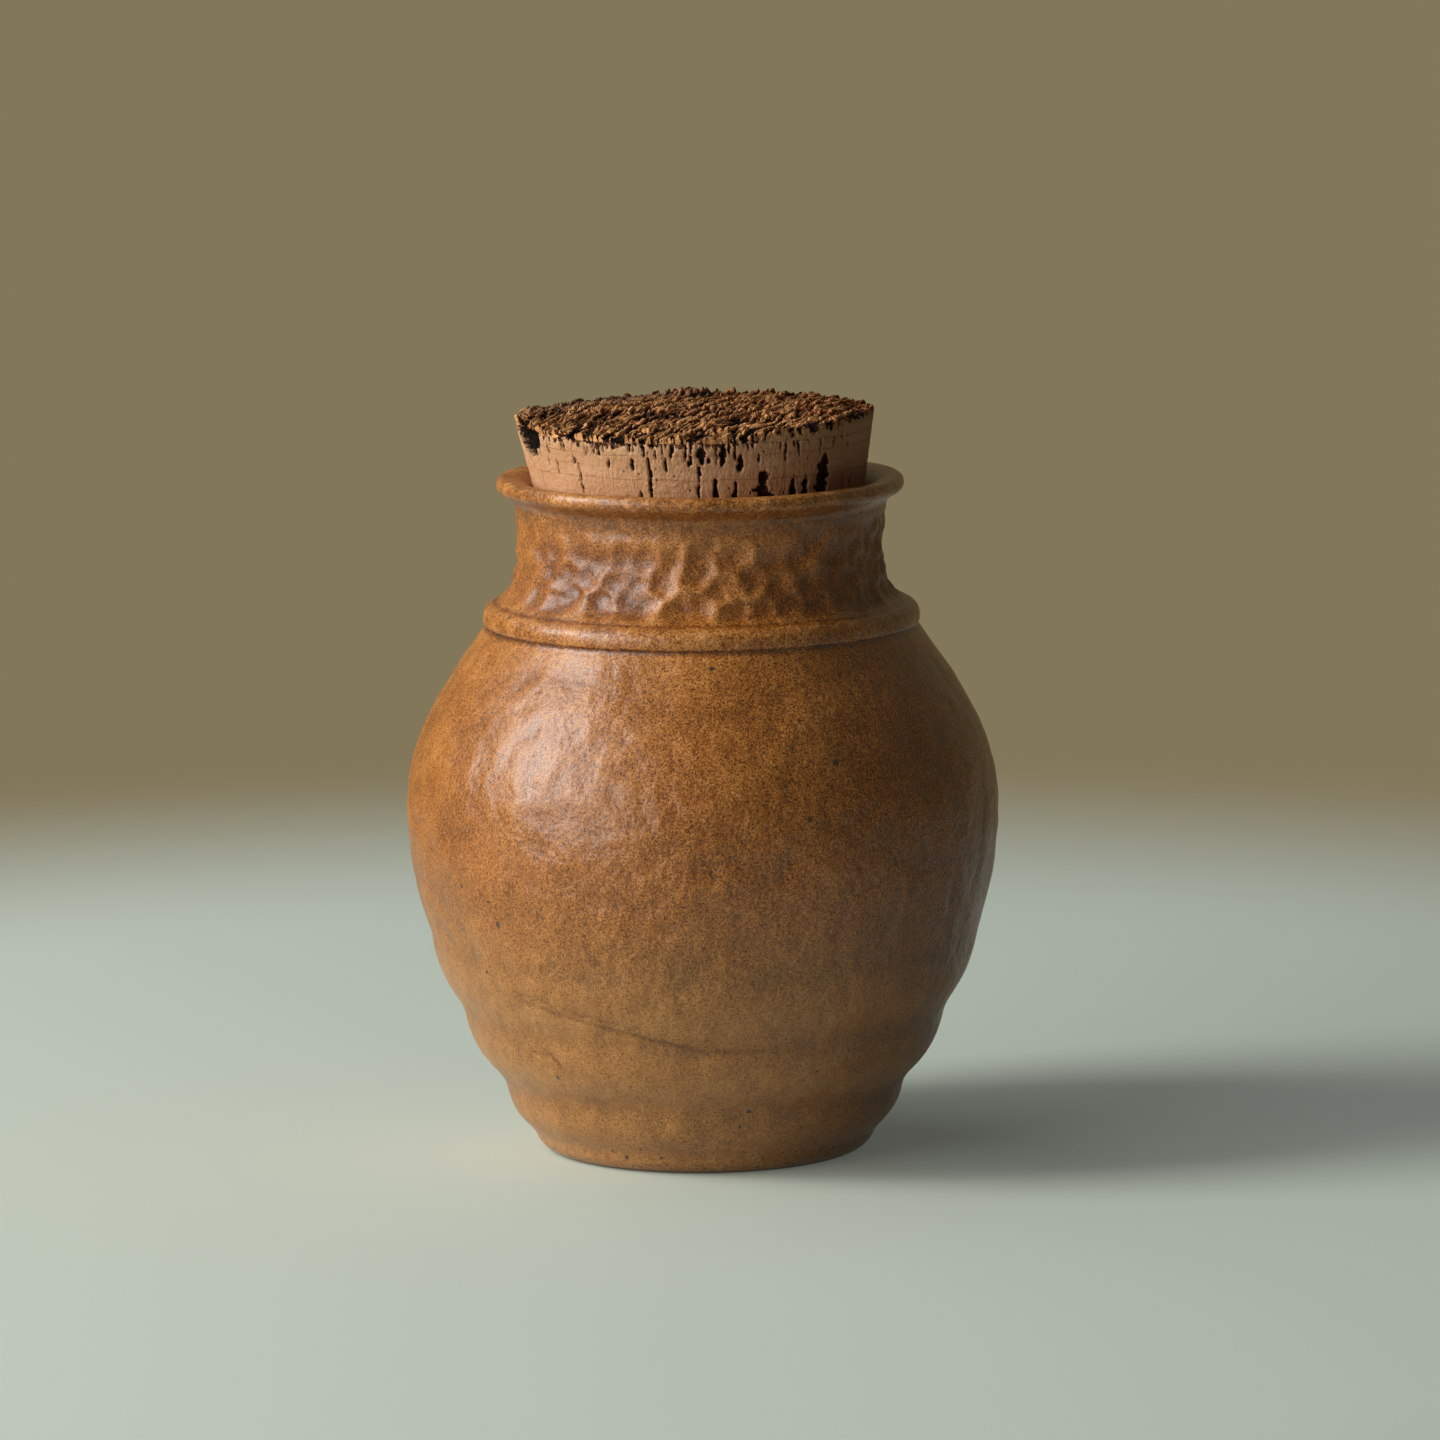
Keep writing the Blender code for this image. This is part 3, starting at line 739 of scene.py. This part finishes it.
def furrows(x, y):
    """Height of the bark above the cork, and how far up its relief each point lies, 0 to 1.

    The trunk's curve gives a crown along the furrows, and the bark is thicker beside it, towards +X.
    On it lie long plates with dark clefts between them. A plate rises across the grain and ends in a
    step, so that it seems to lie over the next one, and smaller flakes break it up. The height is that
    level plus the relief, which is 0.32 furrows + 0.82 plates + 0.12 noise.
    """
    grain = math.radians(FURROW_BEARING)
    along = x * math.cos(grain) + y * math.sin(grain)
    across = y * math.cos(grain) - x * math.sin(grain)
    plank = np.stack([along, across, np.zeros_like(x)], axis=-1)
    bent = across + 1.8 * drift(plank, (11.0, 7.0, 1.0), 41) + 0.35 * drift(plank, (2.6, 1.6, 1.0), 42)
    grid = np.stack([along, bent, np.zeros_like(x)], axis=-1)
    large = np.minimum(1.0, 2.2 * np.abs(drift(grid, (FURROW_LENGTH, FURROW_WIDTH, 1.0), 43)))
    rough = 0.5 + 0.5 * drift(grid, (1.5, 0.5, 1.0), 44)
    crowd = 0.8 * drift(grid, (9.0, 3.2, 1.0), 45)
    tall, edge, lie = plates(along / PLATE_LENGTH, bent / PLATE_WIDTH + crowd, 61)
    flake_tall, flake_edge, flake_lie = plates(along / FLAKE_LENGTH, bent / FLAKE_WIDTH, 62)
    plate = 0.40 * tall + 0.42 * np.clip(0.5 + lie, 0.0, 1.0) + 0.24 * (flake_tall + flake_lie)
    plate = plate * smooth(-0.04, 0.28, edge) * (0.5 + 0.5 * smooth(0.0, 0.26, flake_edge))
    relief = 0.32 * large + 0.82 * plate + 0.12 * rough
    radius = cork_radius(CORK_TOP)
    crown = BARK_CROWN * np.clip(1.0 - (across / radius) ** 2, 0.0, 1.0)
    level = BARK_LEAST + crown + BARK_RISE * np.maximum(0.0, -across / radius) ** 2
    # The bark falls gently towards the front rim, where it was worn down nearly to the cork
    inwards = radius - np.hypot(x, y)
    worn = np.clip(1.0 - inwards / BARK_FALL, 0.0, 1.0) * smooth(10.0, -14.0, y)
    level = level + worn * (np.maximum(0.0, bark_line(x) - CORK_TOP) - level)
    for knob_x, knob_y, half, rise in KNOBS:
        level = level + rise * np.clip(1.0 - (np.hypot(x - knob_x, y - knob_y) / half) ** 2, 0.0, 1.0)
    calm = (1.0 - 0.2 * worn) * (1.0 - 0.3 * smooth(2.0, 22.0, y))
    return level + BARK_RELIEF * relief * calm, relief


def bark_shape():
    """The bark: a square of furrows drawn out to a disc, x sqrt(1 - y^2/2) and y sqrt(1 - x^2/2).

    Its rim follows the leaning cone, a little frayed, down to the cork, and its underside is flat.
    """
    side = np.linspace(-1.0, 1.0, BARK_STEPS + 1)
    across, up = np.meshgrid(side, side)
    flat_x = across * np.sqrt(1.0 - 0.5 * up**2)
    flat_y = up * np.sqrt(1.0 - 0.5 * across**2)
    turn = np.arctan2(flat_y, flat_x)
    ring_place = np.stack([np.cos(turn), np.sin(turn), 0.0 * turn], axis=-1) * cork_radius(CORK_TOP)
    ring_place[..., 2] = BARK_RIM
    rim = cork_radius(BARK_RIM) - sawn_rim(ring_place)
    x, y = flat_x * rim, flat_y * rim
    height, relief = furrows(x, y)
    height = np.clip(height, BARK_THINNEST, BARK_TOP - CORK_TOP)
    top = np.stack([x - lean(CORK_TOP + height), y, CORK_TOP + height], axis=-1)

    numbers = np.arange(top.size // 3).reshape(top.shape[:2])
    corners = [numbers[:-1, :-1], numbers[:-1, 1:], numbers[1:, 1:], numbers[1:, :-1]]
    faces = np.stack(corners, axis=-1).reshape(-1, 4).tolist()
    loop = np.concatenate([numbers[0, :-1], numbers[:-1, -1], numbers[-1, :0:-1], numbers[:0:-1, 0]])

    rim_turn, rim_height = turn.ravel()[loop], height.ravel()[loop]
    share = (np.arange(SKIRT_ROWS)[:, None] + 1.0) / SKIRT_ROWS
    skirt_height = CORK_TOP + rim_height * (1.0 - share)
    radius = cork_radius(skirt_height)
    skirt = np.stack([radius * np.cos(rim_turn), radius * np.sin(rim_turn), skirt_height], axis=-1)
    broken = chip(np.degrees(rim_turn), skirt_height, skirt)
    skirt[..., :2] *= (1.0 - (sawn_rim(skirt) + broken) / radius)[..., None]
    skirt[..., 0] -= lean(skirt_height)
    skirt_relief = relief.ravel()[loop] * (1.0 - 0.2 * share) + 0.14
    skirt_relief = skirt_relief + 0.12 * drift(skirt, (1.6, 1.6, 0.4), 54)
    # In the chip the relief falls to nothing, so the finish paints it near-black: painted shade in the
    # hollow.
    skirt_relief = skirt_relief * (1.0 - smooth(0.05, 0.5, broken))
    rings = np.vstack([loop, numbers.size + np.arange(skirt[..., 0].size).reshape(SKIRT_ROWS, -1)])
    bottom = numbers.size + skirt[..., 0].size
    faces += bands(rings).tolist() + fan(rings[-1], bottom).tolist()
    points = np.vstack([top.reshape(-1, 3), skirt.reshape(-1, 3), [(-lean(CORK_TOP), 0.0, CORK_TOP)]])
    cut = np.ones(len(points))
    cut[:numbers.size] = 0.0
    cut[loop] = 1.0
    relief = np.concatenate([relief.ravel(), skirt_relief.ravel(), [0.0]])
    marks = {
        "relief": np.clip(relief / 0.55 - 0.45, 0.0, 1.0),
        "cut": cut,
        "cork": cut * (1.0 - smooth(-0.25, 0.25, above_bark_line(points))),
    }
    return points, faces, marks


# Finishes

class Tone:
    """Something that varies over a surface. Arithmetic on it adds Math nodes where it came from."""

    def __init__(self, owner, socket):
        self.owner = owner
        self.socket = socket

    def worked(self, operation, *values):
        """The result of a Math node on the values, in their order."""
        return self.owner.node("ShaderNodeMath", {"operation": operation}, dict(enumerate(values)))

    def __add__(self, other):
        return self.worked("ADD", self, other)

    def __sub__(self, other):
        return self.worked("SUBTRACT", self, other)

    def __rsub__(self, other):
        return self.worked("SUBTRACT", other, self)

    def __mul__(self, other):
        return self.worked("MULTIPLY", self, other)

    def __truediv__(self, other):
        return self.worked("DIVIDE", self, other)

    __radd__ = __add__
    __rmul__ = __mul__

    def most(self, other):
        """The larger of the two at each point."""
        return self.worked("MAXIMUM", self, other)

    def fraction(self):
        """What is left after the whole number is taken off."""
        return self.worked("FRACT", self)

    def size(self):
        """The number without its sign."""
        return self.worked("ABSOLUTE", self)

    def between(self, low, high):
        """0 at low and 1 at high, with an even S between them; low may be the larger."""
        values = {"Value": self, "From Min": low, "From Max": high}
        return self.owner.node("ShaderNodeMapRange", {"interpolation_type": "SMOOTHSTEP"}, values)


class Nodes:
    """The nodes of a material or of the world, and the one way to add to them."""

    def __init__(self, owner):
        owner.use_nodes = True
        self.nodes = owner.node_tree.nodes
        self.links = owner.node_tree.links

    def node(self, kind, settings=None, inputs=None, output=0):
        """Adds a node, its settings first and then its sockets' values or links; gives one output."""
        node = self.nodes.new(kind)
        for name, value in (settings or {}).items():
            if name == "stops":
                set_stops(node.color_ramp, value)
            else:
                setattr(node, name, value)
        for name, value in (inputs or {}).items():
            self.feed(node.inputs[name], value)
        return Tone(self, node.outputs[output])

    def feed(self, socket, value):
        """Sets a socket, or links it to a tone."""
        if isinstance(value, Tone):
            self.links.new(value.socket, socket)
        else:
            socket.default_value = value

    def seen_rays(self):
        """1 for rays that see the background straight, in a reflection or through something, else 0."""
        rays = ("Is Camera Ray", "Is Glossy Ray", "Is Transmission Ray")
        straight_on, glossy, through = (self.node("ShaderNodeLightPath", output=ray) for ray in rays)
        return straight_on.most(glossy).most(through)


class Finish(Nodes):
    """One finish being mixed: a material, with short ways to add to its nodes. Lengths are millimetres."""

    def __init__(self, name, shine=0.1):
        self.material = bpy.data.materials.new(name)
        super().__init__(self.material)
        self.surface = self.nodes["Principled BSDF"]
        self.surface.inputs["Specular IOR Level"].default_value = shine
        metres = self.node("ShaderNodeTexCoord", output="Object")
        scale = {"Vector": metres, "Scale": 1.0 / MM}
        self.place = self.node("ShaderNodeVectorMath", {"operation": "SCALE"}, scale)

    def axis(self, name):
        """One coordinate of the place."""
        return self.node("ShaderNodeSeparateXYZ", inputs={"Vector": self.place}, output=name)

    def mark(self, name):
        """A mark that the mesh carries."""
        return self.node("ShaderNodeAttribute", {"attribute_name": name}, output="Fac")

    def moved(self, seed=0.0, stretch=(1.0, 1.0, 1.0), turn=0.0):
        """The place turned about Z, drawn out along each axis, and shifted by a seed."""
        settings = {
            "Vector": self.place, "Location": (17.0 * seed, 31.0 * seed, 7.0 * seed),
            "Rotation": (0.0, 0.0, math.radians(turn)), "Scale": tuple(1.0 / share for share in stretch),
        }
        return self.node("ShaderNodeMapping", {"vector_type": "POINT"}, settings)

    def grain(self, size, seed=0.0, detail=2.0, stretch=(1.0, 1.0, 1.0), turn=0.0, roughness=0.5):
        """Noise about its middle, from roughly -1 to 1, with features of one size."""
        place = self.moved(seed, stretch, turn)
        values = {"Vector": place, "Scale": 1.0 / size, "Detail": detail, "Roughness": roughness}
        return (self.node("ShaderNodeTexNoise", None, values) - 0.5) * 3.0

    def blend(self, share, under, over):
        """One colour laid over another by a share."""
        mix = {"data_type": "RGBA", "blend_type": "MIX"}
        return self.node("ShaderNodeMix", mix, {0: share, 6: colour(under), 7: colour(over)}, output=2)

    def ramp(self, value, stops):
        """A colour that runs through the stops as the value goes from 0 to 1."""
        return self.node("ShaderNodeValToRGB", {"stops": stops}, {"Fac": value})

    def done(self, base, roughness, relief):
        """Feeds the surface: its colour, its roughness and its relief in millimetres. Gives the material."""
        self.feed(self.surface.inputs["Base Color"], base)
        self.feed(self.surface.inputs["Roughness"], roughness)
        bump = self.node("ShaderNodeBump", None, {"Strength": 1.0, "Distance": MM, "Height": relief})
        self.feed(self.surface.inputs["Normal"], bump)
        return self.material


def set_stops(ramp, stops):
    """Sets a ramp's colours at their places, a dictionary in rising order."""
    while len(ramp.elements) < len(stops):
        ramp.elements.new(1.0)
    for element, (place, value) in zip(ramp.elements, stops.items()):
        element.position = place
        element.color = (*value, 1.0)


def colour(value):
    """A colour as a socket takes it; a tone passes through."""
    return value if isinstance(value, Tone) else (*value, 1.0)


def on_jar(bearing, height):
    """The point of the jar's outer wall at a bearing and a height, its radius read off the outline."""
    wall = np.vstack([neck_outline(), body_outline()])[::-1]
    radius = float(np.interp(height, wall[:, 1], wall[:, 0]))
    turn = math.radians(bearing)
    return radius * math.cos(turn), radius * math.sin(turn), height


CHESTNUT_TONES = {
    0.10: (0.045, 0.013, 0.003), 0.32: (0.200, 0.058, 0.008), 0.50: (0.440, 0.150, 0.022),
    0.68: (0.640, 0.270, 0.062), 0.95: (0.860, 0.500, 0.240),
}
OCHRE_TONES = {
    0.10: (0.070, 0.026, 0.008), 0.32: (0.270, 0.110, 0.024), 0.50: (0.510, 0.222, 0.056),
    0.68: (0.680, 0.340, 0.105), 0.95: (0.860, 0.560, 0.280),
}
OLIVE = (0.34, 0.175, 0.058)
RUST_BLOOM = (0.33, 0.105, 0.024)
UMBER = (0.12, 0.040, 0.012)
IRON = (0.035, 0.026, 0.026)
BARE_CLAY = (0.20, 0.115, 0.066)
SAWN_DARK = (0.58, 0.300, 0.145)
SAWN_PALE = (0.72, 0.430, 0.235)
SAWN_LIT = (0.80, 0.540, 0.330)
CORK_RING = (0.30, 0.105, 0.045)
PORE = (0.030, 0.013, 0.008)
# Nearly black, for the bark's clefts: painted shade.
CLEFT_SHADE = (0.010, 0.006, 0.004)
BARK = (0.110, 0.048, 0.024)
BARK_LIT = (0.36, 0.110, 0.028)
# Pale bark tips: partly worn, partly a painted highlight.
BARK_TIP_AND_HIGHLIGHT = (0.86, 0.445, 0.180)
BARK_RUST = (0.27, 0.075, 0.020)
BARK_GREY = (0.215, 0.135, 0.105)

# Millimetres over which the bark's rust and grey change from one side of the cap to the other
TINT_REACH = 30.0


def satin_glaze():
    """Iron glaze on stoneware: chestnut belly, ochre foot, olive hollows, dark grain and iron specks, with
    painted shade towards +X and a painted highlight on the neck's front and back.
    """
    glaze = Finish("satin_glaze", shine=0.78)
    marks = ("hollow", "crest", "dimple", "crease", "inside", "bare", "roll", "low", "seam", "neck")
    hollow, crest, dimple, crease, inside, bare, roll, low, seam, neck = map(glaze.mark, marks)
    height = glaze.axis("Z")
    cloud = glaze.grain(11.0, 1.0, 3.0, (1.0, 1.0, 1.5))
    patch = glaze.grain(3.2, 2.0, 2.0, (1.0, 1.0, 1.3))
    fine = glaze.grain(0.75, 3.0, 2.0)
    grit = glaze.grain(0.29, 4.0, 2.0, roughness=0.6)
    pits = grit.between(-0.1, -1.0)
    pinholes = glaze.grain(0.62, 7.0, 0.0).between(0.85, 1.1)

    belly = (height + cloud * 7.0 + patch * 4.0).between(28.0, 52.0)
    right = glaze.axis("X") / BELLY_RADIUS
    # front is near 1 where X lies near the middle, at the front and the back; on the neck below it paints a
    # highlight.
    front = (right - 0.06).size().between(0.45, 0.12)
    waist = (height - 45.0).size().between(26.0, 6.0)
    # rough scales the grain's colour and bumps. It is fainter low down, and its dark specks grow towards +X:
    # partly real grain, partly painted shade from raking light.
    rough = (0.7 + belly * 0.3) * (right * 0.4 + 1.15)
    smudge = (patch + fine * 0.6).between(0.30, 1.0) * waist
    depth = (grit * 0.34 - pits * 0.27 + fine * 0.09 + 0.03) * rough
    # Darker towards +X, the side that the lamps leave in shade: painted shade.
    depth = depth + patch * 0.09 + cloud * 0.07 - smudge * 0.24 - right.between(0.25, 0.9) * 0.11
    # The neck is a little darker all round, and lighter where X is near the middle: a painted highlight for
    # the glints off its dimples.
    depth = depth + neck * (front * 0.12 - 0.02) - dimple * 0.22 - hollow * 0.12 - low * 0.12 - inside * 0.2
    depth = depth + roll * (fine * 0.10 + patch * 0.08) + crest * 0.06 - seam * 0.32 - crease * 0.16 + 0.5

    base = glaze.blend(belly, glaze.ramp(depth, OCHRE_TONES), glaze.ramp(depth, CHESTNUT_TONES))
    base = glaze.blend((hollow * 0.8 - patch * 0.6) * 0.25, base, OLIVE)
    base = glaze.blend((patch * 0.6 - cloud * 0.6).between(0.3, 1.0) * 0.3, base, OLIVE)
    base = glaze.blend(pinholes * 0.5, base, UMBER)
    bloom = (glaze.grain(2.6, 5.0, 2.0) + fine * 0.3).between(0.35, 0.9) * height.between(40.0, 24.0)
    base = glaze.blend(bloom * 0.45, base, RUST_BLOOM)
    base = glaze.blend((fine + patch * 0.5).between(0.1, 0.7) * height.between(5.5, 1.0) * 0.8, base, UMBER)
    base = glaze.blend(iron_specks(glaze), base, IRON)
    base = glaze.blend(bare, base, BARE_CLAY)

    roughness = 0.38 + fine * 0.04 + patch * 0.04 + neck * 0.07 + bare * 0.3 + crease * 0.1
    relief = (grit * 0.012 + fine * 0.014) * rough + patch * (waist * 0.10 + 0.12)
    relief = relief + fine * waist * 0.02 - pinholes * 0.03
    return glaze.done(base, roughness, relief)


def iron_specks(glaze):
    """Share of iron, 0 to 1: the specks that the photograph shows, and chance ones all round.

    Noise from 0 to SPECK_SHAKE on each axis makes their edges ragged, so their middles move by half of it.
    """
    shake = {"Vector": glaze.moved(8.0), "Scale": 1.0 / 0.9, "Detail": 1.0}
    wander = glaze.node("ShaderNodeTexNoise", None, shake, output="Color")
    shaken = {0: wander, 1: (SPECK_SHAKE,) * 3, 2: glaze.place}
    place = glaze.node("ShaderNodeVectorMath", {"operation": "MULTIPLY_ADD"}, shaken)
    large = glaze.grain(2.0, 9.0, 0.0).between(1.22, 1.34)
    small = glaze.grain(1.1, 10.0, 0.0).between(1.24, 1.38)
    found = large.most(small) * 0.8
    for bearing, height, radius in SPECKS:
        middle = Vector(on_jar(bearing, height)) + Vector((0.5 * SPECK_SHAKE,) * 3)
        ends = {0: place, 1: middle}
        away = glaze.node("ShaderNodeVectorMath", {"operation": "DISTANCE"}, ends, output="Value")
        found = found.most(away.between(1.15 * radius, 0.55 * radius) * 0.95)
    return found


def sawn_cork(finish):
    """Colour and relief of cork as the saw leaves it: growth rings lie flat, and fibres stand upright."""
    height = finish.axis("Z")
    cloud = finish.grain(6.0, 1.0, 2.0, (1.6, 1.6, 0.5))
    fibre = finish.grain(0.55, 2.0, 2.0, (1.0, 1.0, 6.0), roughness=0.6)
    crumb = finish.grain(0.45, 3.0, 2.0, roughness=0.6)
    wander = finish.grain(8.0, 4.0, 2.0)
    year = (height + wander * 0.3 - RING_HEIGHT) / RING_STEP
    winter = ((year + 0.5).fraction() - 0.5).size().between(0.045, 0.0)
    drought = (year.fraction() - 0.5).size().between(0.04, 0.0) * 0.4
    line = (winter + drought) * (finish.grain(5.0, 5.0) * 0.5 + 0.7)
    base = finish.blend(cloud * 0.5 + 0.5, SAWN_DARK, SAWN_PALE)
    base = finish.blend(year.fraction().between(0.55, 1.0) * 0.3, base, SAWN_DARK)
    base = finish.blend(line * 0.55, base, CORK_RING)
    base = finish.blend((fibre * 0.8 + crumb * 0.8).between(0.15, 1.2) * 0.6, base, CORK_RING)
    base = finish.blend((crumb * -0.8 - fibre * 0.5).between(0.2, 1.2) * 0.4, base, SAWN_LIT)
    relief = crumb * 0.05 + fibre * 0.05 - line * 0.04
    return base, relief


def flaky_bark(finish, up, cloud):
    """The bark's colour by how far up its relief a point lies: clefts painted near-black as shade, brown
    scales, and lit tips that are partly worn pale and partly a painted highlight.
    """
    base = finish.blend(up.between(0.28, 0.46), CLEFT_SHADE, BARK)
    base = finish.blend(up.between(0.45, 0.62) * (cloud * 0.4 + 0.8), base, BARK_LIT)
    return finish.blend(up.between(0.60, 0.90) * (cloud * 0.5 + 0.8), base, BARK_TIP_AND_HIGHLIGHT)


def natural_cork():
    """The plug's finish: sawn cork with dark pores, bark teeth at its top, and the chip's broken face painted
    nearly black as shade.
    """
    cork = Finish("natural_cork")
    sawn, relief = sawn_cork(cork)
    crumb = cork.grain(0.6, 6.0, 3.0)
    flake = cork.grain(0.7, 7.0, 2.0, (2.0, 2.0, 0.8))
    flaky = flaky_bark(cork, flake * 0.35 + 0.42, crumb)
    base = cork.blend((cork.mark("bark") + crumb * 0.1).between(0.35, 0.65), sawn, flaky)
    # The chip's broken face takes the bark's lowest tones, nearly black: painted shade in the hollow.
    base = cork.blend(cork.mark("broken"), base, flaky_bark(cork, crumb * 0.12 + 0.06, flake))
    pore = (cork.mark("pore") + crumb * 0.14).between(0.12, 0.5)
    base = cork.blend(pore * 0.96, base, PORE)
    return cork.done(base, 0.82, relief + crumb * 0.03 + cork.mark("broken") * crumb * 0.2)


def weathered_bark():
    """The bark's finish: clefts painted nearly black as shade, brown plates with rust and grey on them, pale
    tips partly painted as highlight, a sawn rim.
    """
    bark = Finish("weathered_bark")
    sawn, sawn_relief = sawn_cork(bark)
    relief_mark, cut = bark.mark("relief"), bark.mark("cut")
    turn = -FURROW_BEARING
    cloud = bark.grain(7.0, 11.0, 2.0)
    streak = bark.grain(0.55, 12.0, 3.0, (4.0, 1.0, 1.0), turn, roughness=0.6)
    crumb = bark.grain(0.4, 13.0, 2.0)
    flake = bark.grain(0.7, 7.0, 2.0, (2.0, 2.0, 0.8))
    # Thin cracks pull the tone down towards the near-black clefts: painted shade in the cracks.
    crack = bark.grain(0.42, 14.0, 2.0, (5.0, 1.0, 1.0), turn).between(0.15, 0.7)
    up = relief_mark + streak * 0.20 + crumb * 0.16 + cut * flake * 0.25 - crack * (1.0 - cut) * 0.32 + 0.06
    right, back = bark.axis("X") / TINT_REACH, bark.axis("Y") / TINT_REACH
    # Towards -Y the relief's tones spread apart, with paler tips and darker clefts: partly the worn front,
    # partly painted highlight and shade.
    up = up + (up - 0.43) * back.between(-0.3, -0.85) * 1.2
    base = flaky_bark(bark, up, cloud)
    rust = (right + back + cloud).between(-0.1, 1.1) * up.between(0.25, 0.6) * 0.6
    base = bark.blend(rust, base, BARK_RUST)
    grey = (back - right + cloud * 0.8).between(0.3, 1.4) * (up + streak * 0.3).between(0.25, 0.8) * 0.6
    base = bark.blend(grey * (1.0 - cut), base, BARK_GREY)
    edge = (bark.mark("cork") + crumb * 0.1).between(0.35, 0.65)
    base = bark.blend(edge, base, sawn)
    return bark.done(base, 0.86, crumb * 0.05 + streak * 0.06 + sawn_relief * edge)


# The stage: floor, light and camera

# Floor: its reach, where its lit part fades into the far tone, the lit part's colour and the share of it
# that glows by itself, the colour that the jar sees, and the far tone
FLOOR_REACH = 6000.0
FLOOR_LIT = (215.0, 420.0)
FLOOR_COLOUR = (0.700, 0.780, 0.680)
FLOOR_LIFT = 0.10
FLOOR_GLOW = (0.35, 0.34, 0.28)
FAR_COLOUR = (0.225, 0.185, 0.102)

# Light from all round
FILL_COLOUR = (0.98, 1.0, 1.03)
FILL_STRENGTH = 0.03

# Lamps: direction from the jar, distance, size as (width, height), power in watts, and tint
LAMPS = {
    "key": ((-0.86, -0.19, 0.52), 1300.0, (480.0, 900.0), 14.2, (1.0, 0.99, 0.965)),
    "front": ((-0.78, -0.64, 0.05), 1500.0, (1000.0, 1300.0), 14.6, (1.0, 1.0, 1.0)),
    "top": ((-0.50, 0.35, 0.80), 1500.0, (1200.0, 1200.0), 3.0, (0.98, 1.0, 1.0)),
}


def add_floor():
    """A pale floor. Near the jar it is lit and takes the shadow, and far away it keeps one even tone.

    What it throws back onto the jar is held down, as if the floor were a small table.
    """
    finish = Finish("pale_floor")
    away = finish.node("ShaderNodeVectorMath", {"operation": "LENGTH"}, {0: finish.place}, output="Value")
    plain = finish.node("ShaderNodeBsdfDiffuse", None, {"Color": colour(FLOOR_COLOUR)})
    lift = finish.node("ShaderNodeEmission", None, {"Color": colour(FLOOR_COLOUR), "Strength": 1.0})
    even = finish.node("ShaderNodeEmission", None, {"Color": colour(FAR_COLOUR), "Strength": 1.0})
    glow = finish.node("ShaderNodeBsdfDiffuse", None, {"Color": colour(FLOOR_GLOW)})
    near = finish.node("ShaderNodeMixShader", None, {0: FLOOR_LIFT, 1: plain, 2: lift})
    seen = finish.node("ShaderNodeMixShader", None, {0: away.between(*FLOOR_LIT), 1: near, 2: even})
    mixed = finish.node("ShaderNodeMixShader", None, {0: finish.seen_rays(), 1: glow, 2: seen})
    finish.feed(finish.nodes["Material Output"].inputs["Surface"], mixed)
    corners = np.array([(-1.0, -1.0, 0.0), (1.0, -1.0, 0.0), (1.0, 1.0, 0.0), (-1.0, 1.0, 0.0)])
    floor = put("floor", new_mesh("floor", corners * FLOOR_REACH, [(0, 1, 2, 3)], finish.material))


def add_world():
    """Soft light from all round. Rays that see the background meet the floor's far tone instead."""
    world = bpy.data.worlds.new("studio")
    bpy.context.scene.world = world
    studio = Nodes(world)
    studio.nodes.remove(studio.nodes["Background"])
    soft = {"Color": colour(FILL_COLOUR), "Strength": FILL_STRENGTH}
    fill = studio.node("ShaderNodeBackground", None, soft)
    far = studio.node("ShaderNodeBackground", None, {"Color": colour(FAR_COLOUR), "Strength": 1.0})
    mixed = studio.node("ShaderNodeMixShader", None, {0: studio.seen_rays(), 1: fill, 2: far})
    studio.feed(studio.nodes["World Output"].inputs["Surface"], mixed)


def add_light(name, direction, distance, size, power, tint):
    """A flat lamp that shines from a direction at the belly of the jar."""
    lamp = bpy.data.lights.new(name, "AREA")
    lamp.shape = "RECTANGLE"
    lamp.size, lamp.size_y = size[0] * MM, size[1] * MM
    lamp.energy = power
    lamp.color = tint
    way = Vector(direction).normalized()
    place = Matrix.Translation((way * distance + Vector((0.0, 0.0, BELLY_HEIGHT))) * MM)
    put(name, lamp).matrix_world = place @ way.to_track_quat("Z", "Y").to_matrix().to_4x4()


def add_camera():
    """The photograph's camera: it looks along +Y, tilted down, with the jar a little left of the middle."""
    view = bpy.data.cameras.new("camera")
    view.sensor_width = SENSOR
    view.lens = CAMERA_LENS
    view.clip_end = 4.0 * FLOOR_REACH * MM
    aside = AXIS_LEFT_OF_MIDDLE * SENSOR / PICTURE / CAMERA_LENS * CAMERA_AWAY
    place = Matrix.Translation(Vector((aside, -CAMERA_AWAY, CAMERA_HEIGHT)) * MM)
    pitch = Matrix.Rotation(math.radians(90.0 - CAMERA_PITCH), 4, "X")
    camera = put("camera", view)
    camera.matrix_world = place @ pitch @ Matrix.Rotation(math.radians(CAMERA_ROLL), 4, "Z")
    bpy.context.scene.camera = camera


add_piece("glazed_jar", jar_shape(), satin_glaze(), "jar", "stoneware_jar")
add_piece("cork_plug", cork_shape(), natural_cork(), "stopper", "stopper_cork")
add_piece("bark_cap", bark_shape(), weathered_bark(), "stopper", "stopper_bark")

add_floor()
add_world()
for name, lamp in LAMPS.items():
    add_light(name, *lamp)
add_camera()
bpy.context.scene.view_settings.view_transform = "Standard"
